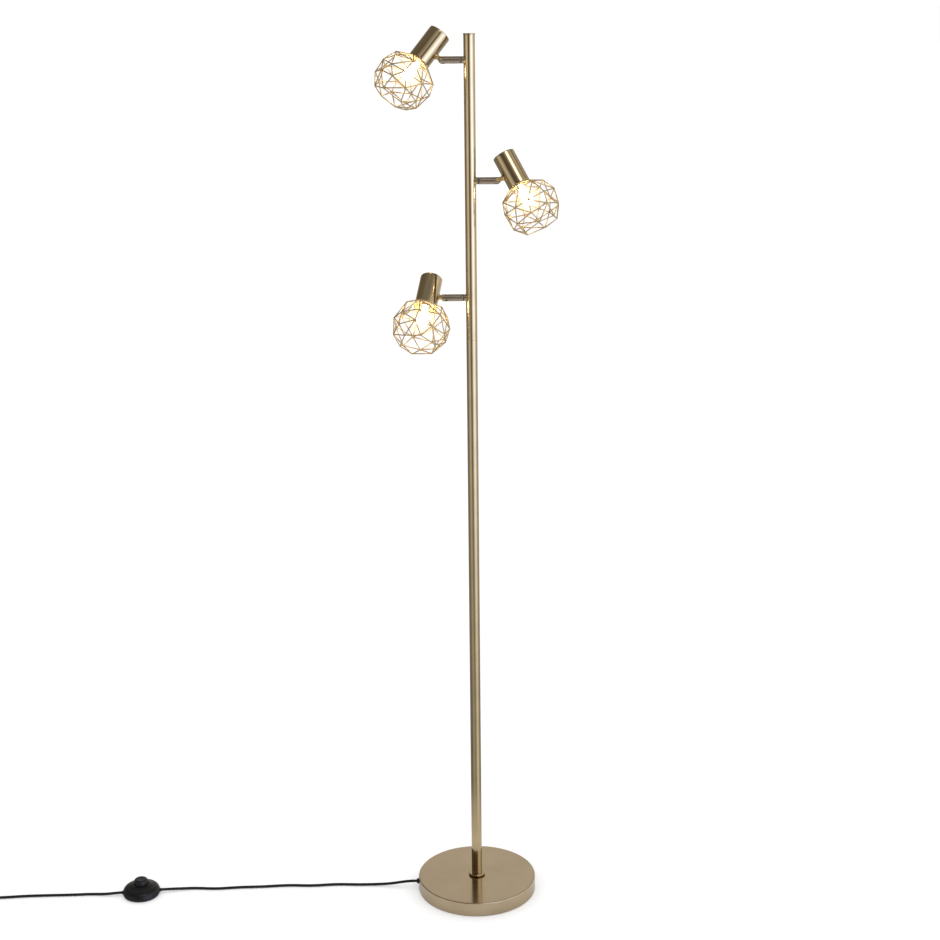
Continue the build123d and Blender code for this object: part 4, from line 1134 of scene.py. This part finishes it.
@dataclass
class FootSwitch:
    """Round foot switch on the cord: a domed top, a dished bottom and a big push button."""

    centre: Span = (-622.4, -14.2)
    turn: float = 7.7
    radius: float = 34.0
    floor_radius: float = 31.0
    seam: float = 5.5
    side_curve: float = 9.0
    shoulder: Span = (23.0, 17.5)
    crown_radius: float = 16.65
    crown: float = 21.0
    crown_edge: float = 1.2
    hole: float = 12.85
    wall: float = 1.8
    button_radius: float = 12.5
    button_top: float = 31.0
    button_edge: float = 4.0
    dish_depth: float = 0.5
    dish_radius: float = 59.7
    flange_radius: float = 14.5
    flange_foot: float = 16.85
    flange_top: float = 18.85
    stem_radius: float = 3.0
    stem_foot: float = 6.9
    reach: float = 35.6
    sleeve: Outline = (
        (0, 30.2), (4, 30.2), (3.75, 33), (3.62, 33.9), (3.4, 34.1), (3.35, 34.5), (3.45, 34.7),
    )

    def frame(self) -> Frame:
        """Frame on the floor under the switch's middle, its X along the cord towards the base."""
        origin = np.array([self.centre[0] * MM, self.centre[1] * MM, 0.0])
        return Frame(origin, np.eye(3)).turned(2, self.turn)

    def top(self) -> bpy.types.Object:
        """Domed top with a rounded shoulder and a low collar round the button.

        Returns:
            The top.
        """
        rise = self.shoulder[1] - self.seam
        span = self.radius - self.shoulder[0]
        curve = (span**2 + rise**2) / (2 * span)
        middle = (self.radius - curve, self.seam)
        stop = math.degrees(math.atan2(rise, self.shoulder[0] - middle[0]))
        inner = self.radius - self.wall
        profile = profile_of(
            (inner, self.seam),
            (self.radius - 0.35, self.seam),
            (self.radius, self.seam + 0.3),
            arc(middle, curve, 4, stop, 18),
            (self.crown_radius + 1.6, self.crown - 0.75),
            arc((self.crown_radius - 0.2, self.crown - self.crown_edge), self.crown_edge, 50, 90, 4),
            (self.hole + 0.4, self.crown),
            (self.hole, self.crown - 0.4),
            (self.hole, self.crown - self.wall),
            (self.crown_radius - 1.8, self.crown - self.wall),
            (self.shoulder[0] - self.wall, self.shoulder[1] - self.wall),
            (inner - 6.2, self.shoulder[1] - self.wall),
            (inner, self.shoulder[1] - self.wall - 6.2),
        )
        piece = revolved("switch_domed_top", profile, self.frame(), segments=128, loop=True)
        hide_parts("switch_top")
        SWITCH_BLACK.dress(piece)
        return piece

    def bottom(self) -> bpy.types.Object:
        """Dished bottom: a rounded side from the floor up to the seam, and a flat inside.

        Returns:
            The bottom.
        """
        low = self.floor_radius
        profile = profile_of(
            (0, 0),
            (low - 1.5, 0),
            (low - 0.4, 0.25),
            arc((self.radius - self.side_curve, self.seam), self.side_curve, -35, -4, 10),
            (self.radius - 0.35, self.seam - 0.05),
            (low - self.wall, self.seam - 0.05),
            (low - self.wall, self.wall),
            (0, self.wall),
        )
        piece = revolved("switch_dished_bottom", profile, self.frame(), segments=128)
        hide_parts("switch_bottom")
        SWITCH_BLACK.dress(piece)
        return piece

    def button(self) -> bpy.types.Object:
        """Push button with a rounded edge, a dished top, its flange and its stem.

        Returns:
            The button.
        """
        top, edge, dish = self.button_top, self.button_edge, self.dish_radius
        profile = profile_of(
            (0, top - self.dish_depth),
            arc((0, top - self.dish_depth + dish), dish, -90, -83.5, 6)[1:],
            arc((self.button_radius - edge, top - edge), edge, 80, 0, 12),
            (self.button_radius, self.flange_top),
            (self.flange_radius, self.flange_top),
            (self.flange_radius, self.flange_foot),
            (self.stem_radius, self.flange_foot),
            (self.stem_radius, self.stem_foot),
            (0, self.stem_foot),
        )
        piece = revolved("switch_push_button", profile, self.frame(), segments=96)
        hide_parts("switch_button")
        BUTTON_BLACK.dress(piece)
        return piece

    def bushings(self) -> bpy.types.Object:
        """Ribbed sleeves where the cord enters, one on each side.

        Returns:
            Both sleeves as one piece.
        """
        middle = self.frame().shifted(z=self.seam * MM)
        x, y, z = middle.axes
        profile = profile_of(*self.sleeve, (3.2, self.reach), (0, self.reach))
        made = []
        for side in Side:
            out = Frame(middle.origin, np.stack([y * side.value, z, x * side.value]))
            made.append(revolved(f"bushing_{side.name}", profile, out, segments=48))
        piece = joined("switch_cord_bushings", made)
        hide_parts("switch_bushings")
        CORD_BLACK.dress(piece)
        return piece

    def build(self) -> list[bpy.types.Object]:
        """Make the switch's pieces."""
        return [self.top(), self.bottom(), self.button(), self.bushings()]


@dataclass
class SupplyCord:
    """Round black cord on the floor: from the base to the switch, and on to its coil and plug."""

    switch: FootSwitch
    diameter: float = 5.0
    exit_point: Point = (-112.35, 0.0, 13.0)
    lay: float = 2.55
    lead: float = 12.0
    coil_start: Span = (-942.0, -28.4)
    coil_halves_in: int = 6
    coil_pitch: float = 5.6
    coil_mid_diameter: float = 58.8
    coil_rise: float = 5.5
    coil_points: int = 6
    coil_draw_in: float = 0.9662
    tail: float = 32.0
    near_length: float = 0.4775
    far_length: float = 1.6106
    plug_corner: float = 0.55
    plug_steps: int = 64
    plug_stations: tuple[Point, ...] = (
        (-20.0, 0.01, 0.01), (-20.0, 2.6, 2.6), (-19.5, 3.1, 3.1), (-10.0, 3.9, 3.9), (-1.0, 4.9, 4.6),
        (0.0, 5.2, 4.8), (1.2, 6.0, 5.6), (6.0, 8.6, 6.3), (14.0, 12.4, 6.7), (20.0, 12.9, 6.8),
        (30.0, 13.0, 6.85), (34.6, 12.9, 6.75), (35.7, 12.3, 6.1), (36.0, 11.2, 5.0), (36.0, 0.01, 0.01),
    )
    gland_flange: Outline = ((4.0, 105.2), (4.0, 107.2), (5.5, 107.6), (5.7, 108.6), (5.5, 109.4))
    gland_neck: Outline = ((4.4, 109.7), (4.2, 110.9))

    def beside_switch(self, reach: float) -> Point:
        """Point on the switch's cord axis, so far from its middle towards the base."""
        point = self.switch.frame().place(np.array([reach, 0.0, self.switch.seam]) * MM) / MM
        return tuple(point.tolist())

    def near_points(self) -> list[Point]:
        """Given points from the base to the switch, in millimetres.

        Returns:
            The points, from the base's gland on.
        """
        lay = self.lay
        x, y, z = self.exit_point
        route = (
            (-141.0, 1.4, 10.2), (-161.0, 3.6, 5.9), (-186.0, 6.4, 3.2), (-223.0, 6.9, lay),
            (-264.0, 9.6, lay), (-307.0, 4.1, lay), (-352.0, 7.8, lay), (-400.0, 2.6, lay),
            (-444.0, 1.8, lay), (-485.0, -3.6, lay), (-524.0, 0.4, lay), (-553.0, -3.2, 3.6),
        )
        into = [self.beside_switch(self.switch.reach + lead) for lead in (self.lead, 0.0)]
        return [self.exit_point, (x - self.lead, y, z), *route, *into]

    def far_points(self) -> list[Point]:
        """Given points from the switch to the coil, then the coil's turns and its tail.

        Returns:
            The points, from the switch on.
        """
        lay = self.lay
        out = [self.beside_switch(-self.switch.reach - lead) for lead in (0.0, self.lead)]
        x, y = self.coil_start
        route = (
            (-690.0, -20.6, 3.4), (-716.0, -18.0, lay), (-750.0, -20.4, lay), (-793.0, -21.2, lay),
            (-838.0, -23.0, lay), (-874.0, -27.2, lay), (-907.0, y, lay), (x + self.diameter, y, lay),
        )
        return [*out, *route, *self.coil_turns()]

    @property
    def tail_end(self) -> Point:
        """End of the coil's tail, where the plug is."""
        return self.coil_turns()[-1]

    def coil_turns(self) -> list[Point]:
        """Half turns about (x, c): radius r times (-+ sin t, -+ cos t), drawn in and out again.

        The control points stand out from the turn by 1 / coil_draw_in, which puts the curve on it.

        Returns:
            The points, with those of the tail at the end.
        """
        step = self.coil_pitch / 2
        outer = self.coil_mid_diameter / 2 + (self.coil_halves_in - 1) / 2 * step
        low, high = self.lay, self.lay + self.coil_rise
        halves = [(outer - k * step, low, low) for k in range(self.coil_halves_in)]
        climb = outer - self.coil_halves_in * step
        halves.append((climb, low, high))
        halves += [(climb + (k + 1) * step, high, high) for k in range(self.coil_halves_in + 1)]
        x, y = self.coil_start
        heading = -1
        points = []
        for radius, start, stop in halves:
            middle = y - heading * radius
            t = (np.arange(self.coil_points) + 0.5) / self.coil_points
            out = radius / self.coil_draw_in
            across = x + heading * out * np.sin(math.pi * t)
            deep = middle + heading * out * np.cos(math.pi * t)
            level = start + (stop - start) * t
            points += [tuple(p) for p in np.stack([across, deep, level], axis=-1).tolist()]
            y = y - heading * 2 * radius
            heading = -heading
        points += [(x + heading * self.tail * share, y, high) for share in (0.3, 0.65, 1.0)]
        return points

    def curve(self, name: str, points: list[Point]) -> bpy.types.Object:
        """Round cord on a smooth spline whose control points are these.

        Args:
            name: Name of the cord.
            points: Control points in millimetres.

        Returns:
            The cord, as a curve with a round bevel.
        """
        data = bpy.data.curves.new(name, "CURVE")
        data.dimensions = "3D"
        data.resolution_u = 6
        data.bevel_depth = self.diameter / 2 * MM
        data.bevel_resolution = 4
        data.use_fill_caps = True
        spline = data.splines.new("NURBS")
        spline.points.add(len(points) - 1)
        flat = np.hstack([np.array(points) * MM, np.ones((len(points), 1))])
        spline.points.foreach_set("co", flat.ravel())
        spline.order_u = 3
        spline.use_endpoint_u = True
        piece = bpy.data.objects.new(name, data)
        bpy.context.scene.collection.objects.link(piece)
        CORD_BLACK.dress(piece)
        return piece

    def plug(self) -> bpy.types.Object:
        """Flat plug: rounded rectangle sections along its length, drawn in to a sleeve on the cord.

        The section at station s has half width w and half height h, and its edge runs through
        (w |cos t|^p, h |sin t|^p) with the signs of cos t and sin t: p is 1 on the round sleeve and
        plug_corner on the body.

        Returns:
            The plug.
        """
        x, y, z = self.tail_end
        angle = angles(self.plug_steps)
        place, half_width, half_height = np.array(self.plug_stations).T[:, :, None]
        power = np.where(place < 0, 1.0, self.plug_corner)
        wide = np.sign(np.cos(angle)) * np.abs(np.cos(angle)) ** power
        tall = np.sign(np.sin(angle)) * np.abs(np.sin(angle)) ** power
        grid = [x - place + 0 * angle, y + half_width * wide, z + half_height * tall]
        points = np.stack(grid, axis=-1).reshape(-1, 3)
        faces = [grid_faces(len(self.plug_stations), self.plug_steps)]
        piece = finished_mesh("plug_moulded_body", points * MM, faces)
        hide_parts("plug_body")
        SWITCH_BLACK.dress(piece)
        return piece

    def gland(self) -> bpy.types.Object:
        """Cord gland in the base's wall: a flange and a short neck with a rounded mouth.

        Returns:
            The gland.
        """
        outward = np.array([[0.0, 0.0, 1.0], [0.0, 1.0, 0.0], [-1.0, 0.0, 0.0]])
        along = Frame(np.array([0.0, 0.0, self.exit_point[2] * MM]), outward)
        mouth = arc((3.1, 111.2), 1.1, 0, 90, 5)
        profile = profile_of((0, 105.2), *self.gland_flange, *self.gland_neck, mouth, (0, 112.3))
        piece = revolved("cord_gland_moulded", profile, along, segments=48)
        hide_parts("cord_gland")
        CORD_BLACK.dress(piece)
        return piece

    def build(
        self, nodes: dict[str, bpy.types.Object], switch_pieces: list[bpy.types.Object]
    ) -> list[bpy.types.Object]:
        """Make the cord's two stretches, its plug and its gland.

        Args:
            nodes: The part's CAD nodes by name; not used.
            switch_pieces: The pieces of the switch, which lies on the cord; not used.

        Returns:
            Both stretches, the plug and the gland.
        """
        near = self.curve("cord_to_switch", self.near_points())
        far = self.curve("cord_to_plug", self.far_points())
        plug, gland = self.plug(), self.gland()
        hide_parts("cord_base_to_switch")
        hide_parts("cord_switch_to_coil", "cord_coil")
        [value * MM for value in self.beside_switch(-self.switch.reach)]
        return [near, far, plug, gland]


# ---------------------------------------------------------------- studio
@dataclass
class Studio:
    """Pale floor, white surroundings with soft bright and dark cards for the metal, and the camera.

    What the metal sees is a ramp of grey cards over the heading, from the camera's side (0 degrees)
    towards +X. There are four such ramps, one low down, one level and two higher up, and each
    fades into the next with height.
    """

    lens: float = 64.34
    sensor: float = 36.0
    clip_end: float = 200.0
    position: Point = (-0.00547, -2.809, 1.588)
    pitch: float = 15.557
    roll: float = 0.574
    floor_size: float = 60.0
    floor_tone: float = 0.87
    floor_lift: float = 0.255
    floor_seen_by_metal: Span = (0.2, 0.45)
    level_cards: Cards = (
        (-180, 0.8), (-150, 0.4), (-112, 0.25), (-88, 0.36), (-64, 0.95), (-46, 1.1), (-30, 0.55),
        (-12, 0.03), (6, 0.6), (24, 1.8), (44, 2.4), (64, 1.9), (88, 0.95), (112, 0.75), (140, 0.8),
        (180, 0.8),
    )
    high_cards: Cards = (
        (-180, 0.74), (-165, 0.45), (-140, 0.18), (-95, 0.2), (-46, 0.12), (-22, 0.17), (6, 0.15),
        (20, 0.15), (34, 1.3), (60, 1.5), (85, 1.25), (100, 1.1), (116, 0.8), (140, 0.45), (165, 0.6),
        (180, 0.74),
    )
    upper_cards: Cards = (
        (-180, 0.6), (-140, 0.24), (-95, 0.2), (-46, 0.14), (-6, 0.42), (5, 0.7), (15, 1.8), (39, 1.0),
        (56, 0.6), (72, 0.5), (84, 1.0), (98, 0.25), (140, 0.3), (180, 0.6),
    )
    low_cards: Cards = (
        (-180, 0.75), (-140, 0.22), (-112, 0.36), (-85, 0.22), (-60, 0.36), (-42, 0.55), (-22, 0.52),
        (-6, 0.35), (10, 0.42), (28, 0.85), (48, 1.05), (68, 0.85), (92, 0.42), (116, 0.33), (145, 0.6),
        (180, 0.75),
    )
    zenith_tone: float = 0.30
    nadir_tone: float = 0.85
    high_fade: Span = (-0.02, 0.28)
    upper_fade: Span = (0.5, 0.62)
    zenith_fade: Span = (0.8, 0.93)
    low_fade: Span = (-0.12, -0.4)
    nadir_fade: Span = (-0.55, -0.8)
    card_scale: float = 4.0
    warmth: float = 0.35
    coolness: float = 0.6
    green_share: float = 0.15
    room_tone: float = 0.93
    key_place: Point = (1.04, -1.85, 3.41)
    key_turn: float = 27.0
    key_tip: float = 44.0
    key_size: float = 1.2
    key_energy: float = 6.5

    def camera(self) -> bpy.types.Object:
        """Camera at the photograph's place, tipped down and rolled a little.

        Returns:
            The camera.
        """
        data = bpy.data.cameras.new("studio_camera")
        data.lens = self.lens
        data.sensor_width = self.sensor
        data.clip_end = self.clip_end
        eye = bpy.data.objects.new("studio_camera", data)
        tip = Matrix.Rotation(math.radians(90 - self.pitch), 4, "X")
        spin = Matrix.Rotation(math.radians(-self.roll), 4, "Z")
        eye.matrix_world = Matrix.Translation(self.position) @ tip @ spin
        bpy.context.scene.collection.objects.link(eye)
        bpy.context.scene.camera = eye
        return eye

    def floor(self) -> bpy.types.Object:
        """Wide pale floor that keeps shadows; the metal sees it only close to the base.

        Returns:
            The floor.
        """
        half = self.floor_size
        corners = [(-half, -half, 0.0), (half, -half, 0.0), (half, half, 0.0), (-half, half, 0.0)]
        mesh = bpy.data.meshes.new("studio_floor")
        mesh.from_pydata(corners, [], [[0, 1, 2, 3]])
        plane = bpy.data.objects.new("studio_floor", mesh)
        bpy.context.scene.collection.objects.link(plane)
        material = bpy.data.materials.new("pale_floor")
        material.use_nodes = True
        tree = material.node_tree
        shader = tree.nodes["Principled BSDF"]
        path = add_node(tree, "LightPath", {}).outputs
        paint = {
            "Base Color": grey(self.floor_tone),
            "Roughness": 0.9,
            "Specular IOR Level": 0.1,
            "Emission Color": grey(1.0),
            "Emission Strength": computed(tree, "MULTIPLY", path["Is Camera Ray"], self.floor_lift),
        }
        feed(tree, shader, paint)
        place = add_node(tree, "TexCoord", {}).outputs["Object"]
        reach = add_node(tree, "VectorMath", {0: place}, operation="LENGTH").outputs["Value"]
        far = spanned(tree, reach, self.floor_seen_by_metal)
        hidden = computed(tree, "MULTIPLY", far, path["Is Glossy Ray"])
        clear = add_node(tree, "BsdfTransparent", {}).outputs["BSDF"]
        mix = add_node(tree, "MixShader", {"Fac": hidden, 1: shader.outputs["BSDF"], 2: clear})
        feed(tree, tree.nodes["Material Output"], {"Surface": mix.outputs["Shader"]})
        plane.data.materials.append(material)
        return plane

    def surroundings(self) -> None:
        """World: white to the camera, an even light for the rest, and soft cards for the metal."""
        world = bpy.data.worlds.new("studio_world")
        bpy.context.scene.world = world
        world.use_nodes = True
        tree = world.node_tree
        ray = add_node(tree, "TexCoord", {}).outputs["Generated"]
        x, y, height = add_node(tree, "SeparateXYZ", {"Vector": ray}).outputs
        angle = computed(tree, "ARCTAN2", x, computed(tree, "MULTIPLY", y, -1.0))
        heading = spanned(tree, angle, (-math.pi, math.pi))
        cards = self.cards(tree, heading, self.level_cards)
        layers = (
            (self.high_fade, self.cards(tree, heading, self.high_cards)),
            (self.upper_fade, self.cards(tree, heading, self.upper_cards)),
            (self.zenith_fade, grey(self.zenith_tone)),
            (self.low_fade, self.cards(tree, heading, self.low_cards, tint=0.0)),
            (self.nadir_fade, grey(self.nadir_tone)),
        )
        for span, layer in layers:
            cards = self.mixed(tree, spanned(tree, height, span), cards, layer)
        path = add_node(tree, "LightPath", {}).outputs
        light = self.mixed(tree, path["Is Glossy Ray"], grey(self.room_tone), cards)
        seen = self.mixed(tree, path["Is Camera Ray"], light, grey(1.0))
        feed(tree, tree.nodes["Background"], {"Color": seen})

    def cards(
        self, tree: bpy.types.NodeTree, share: bpy.types.NodeSocket, stops: Cards, tint: float = 1.0
    ) -> bpy.types.NodeSocket:
        """Add a smooth ramp of cards over the heading.

        The ramp holds a share of each tone, 1 / card_scale, so that none is cut off. Cards darker
        than 1 are a little warm and brighter ones a little cool, like a room round a bright window.

        Args:
            tree: The world's node tree.
            share: Heading as a share of the whole turn.
            stops: Headings in degrees with their tones.
            tint: How far the cards are warmed and cooled, 0 for plain greys.

        Returns:
            Socket of the cards' colour.
        """
        ramp = add_node(tree, "ValToRGB", {"Fac": share})
        ramp.color_ramp.interpolation = "EASE"
        elements = ramp.color_ramp.elements
        for degrees, _ in stops[1:-1]:
            elements.new((degrees + 180) / 360)
        for element, (_, tone) in zip(elements, stops):
            lift = max(-1.0, min(1.0, tone - 1.0)) * tint
            blue = self.coolness if lift > 0 else self.warmth
            channels = (1.0, 1 + self.green_share * lift, 1 + blue * lift)
            element.color = (*(tone / self.card_scale * channel for channel in channels), 1)
        whole = {0: ramp.outputs["Color"], "Scale": self.card_scale}
        return add_node(tree, "VectorMath", whole, operation="SCALE").outputs["Vector"]

    @staticmethod
    def mixed(
        tree: bpy.types.NodeTree, share: bpy.types.NodeSocket, first: Input, second: Input
    ) -> bpy.types.NodeSocket:
        """Mix two colours by a share, each given as a socket or as plain numbers.

        Args:
            tree: The world's node tree.
            share: Share of the second colour.
            first: The first colour.
            second: The second colour.

        Returns:
            Socket of the mixed colour.
        """
        colours = {0: share, 6: first, 7: second}
        return add_node(tree, "Mix", colours, data_type="RGBA").outputs[2]

    def lamp(self) -> None:
        """One broad soft lamp high on the right, for a little shape in the shadows."""
        data = bpy.data.lights.new("soft_key", "AREA")
        data.shape = "DISK"
        data.size = self.key_size
        data.energy = self.key_energy
        key = bpy.data.objects.new("soft_key", data)
        turn = Matrix.Rotation(math.radians(self.key_turn), 4, "Z")
        tip = Matrix.Rotation(math.radians(self.key_tip), 4, "X")
        key.matrix_world = Matrix.Translation(self.key_place) @ turn @ tip
        key.visible_camera = False
        bpy.context.scene.collection.objects.link(key)

    def build(self) -> None:
        """Make the camera, the floor, the world and the lamp."""
        self.camera()
        self.floor()
        self.surroundings()
        self.lamp()
        bpy.context.scene.view_settings.view_transform = "Standard"


NODE_FINISHES: dict[str, Finish] = {
    "base_pad": PAD_RUBBER,
    "base_weight": CEMENT,
    "base_washer": ZINC,
    "base_nut": ZINC,
    "base_threaded_rod": ZINC,
    "terminal_block": TERMINAL_WHITE,
    "pole_joiners": ZINC,
    "pole_foot_insert": ZINC,
    "arm_nipples": ZINC,
    "arm_saddles": BRASS,
    "arm_friction_rings": NYLON,
    "arm_ring_nuts": ZINC,
    "cord_in_base": CORD_BLACK,
    "switch_block": NYLON,
    "switch_screws": ZINC,
    "plug_pins": PIN_METAL,
    **{f"arm_clevis_{number}": ARM_BRASS for number in (1, 2, 3)},
    **{f"tilt_screw_{number}": KNUCKLE_BRASS for number in (1, 2, 3)},
    **{f"holder_tongue_{number}": KNUCKLE_BRASS for number in (1, 2, 3)},
}


def ride(body: str, pieces: list[bpy.types.Object]) -> None:
    """Let pieces move with a body, and report them.

    Args:
        body: Name of the body.
        pieces: The pieces that ride on it.
    """
    for piece in pieces:
        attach(piece, body)
        log.info("%s rides on %s", piece.name, body)


def main() -> None:
    """Build the lamp and its studio in order."""
    logging.basicConfig(level=logging.INFO)
    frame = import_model()
    nodes = frame["nodes"]
    Studio().build()

    switch = FootSwitch()
    switch_pieces = switch.build()
    cord_pieces = SupplyCord(switch).build(nodes, switch_pieces)
    ride("foot_button", [piece for piece in switch_pieces if "button" in piece.name])
    ride("stand", [piece for piece in switch_pieces if "button" not in piece.name])
    ride("stand", cord_pieces)
    ride("stand", WeightedBase().build())
    ride("stand", Pole().build())

    heads = (
        LampHead(SwivelArm(1, Side.LEFT, height=1498.0, swivel=21.0), tilt=37.0, cage_turn=300.0),
        LampHead(SwivelArm(2, Side.RIGHT, height=1303.0, swivel=22.0), tilt=27.0, cage_turn=307.0),
        LampHead(SwivelArm(3, Side.LEFT, height=1108.0, swivel=44.0), tilt=10.0, cage_turn=94.0),
    )
    for head in heads:
        ride(f"arm_{head.number}", head.arm.build())
        ride(f"head_{head.number}", head.build())

    for name, finish in NODE_FINISHES.items():
        finish.dress(nodes[name])


if __name__ == "__main__":
    main()
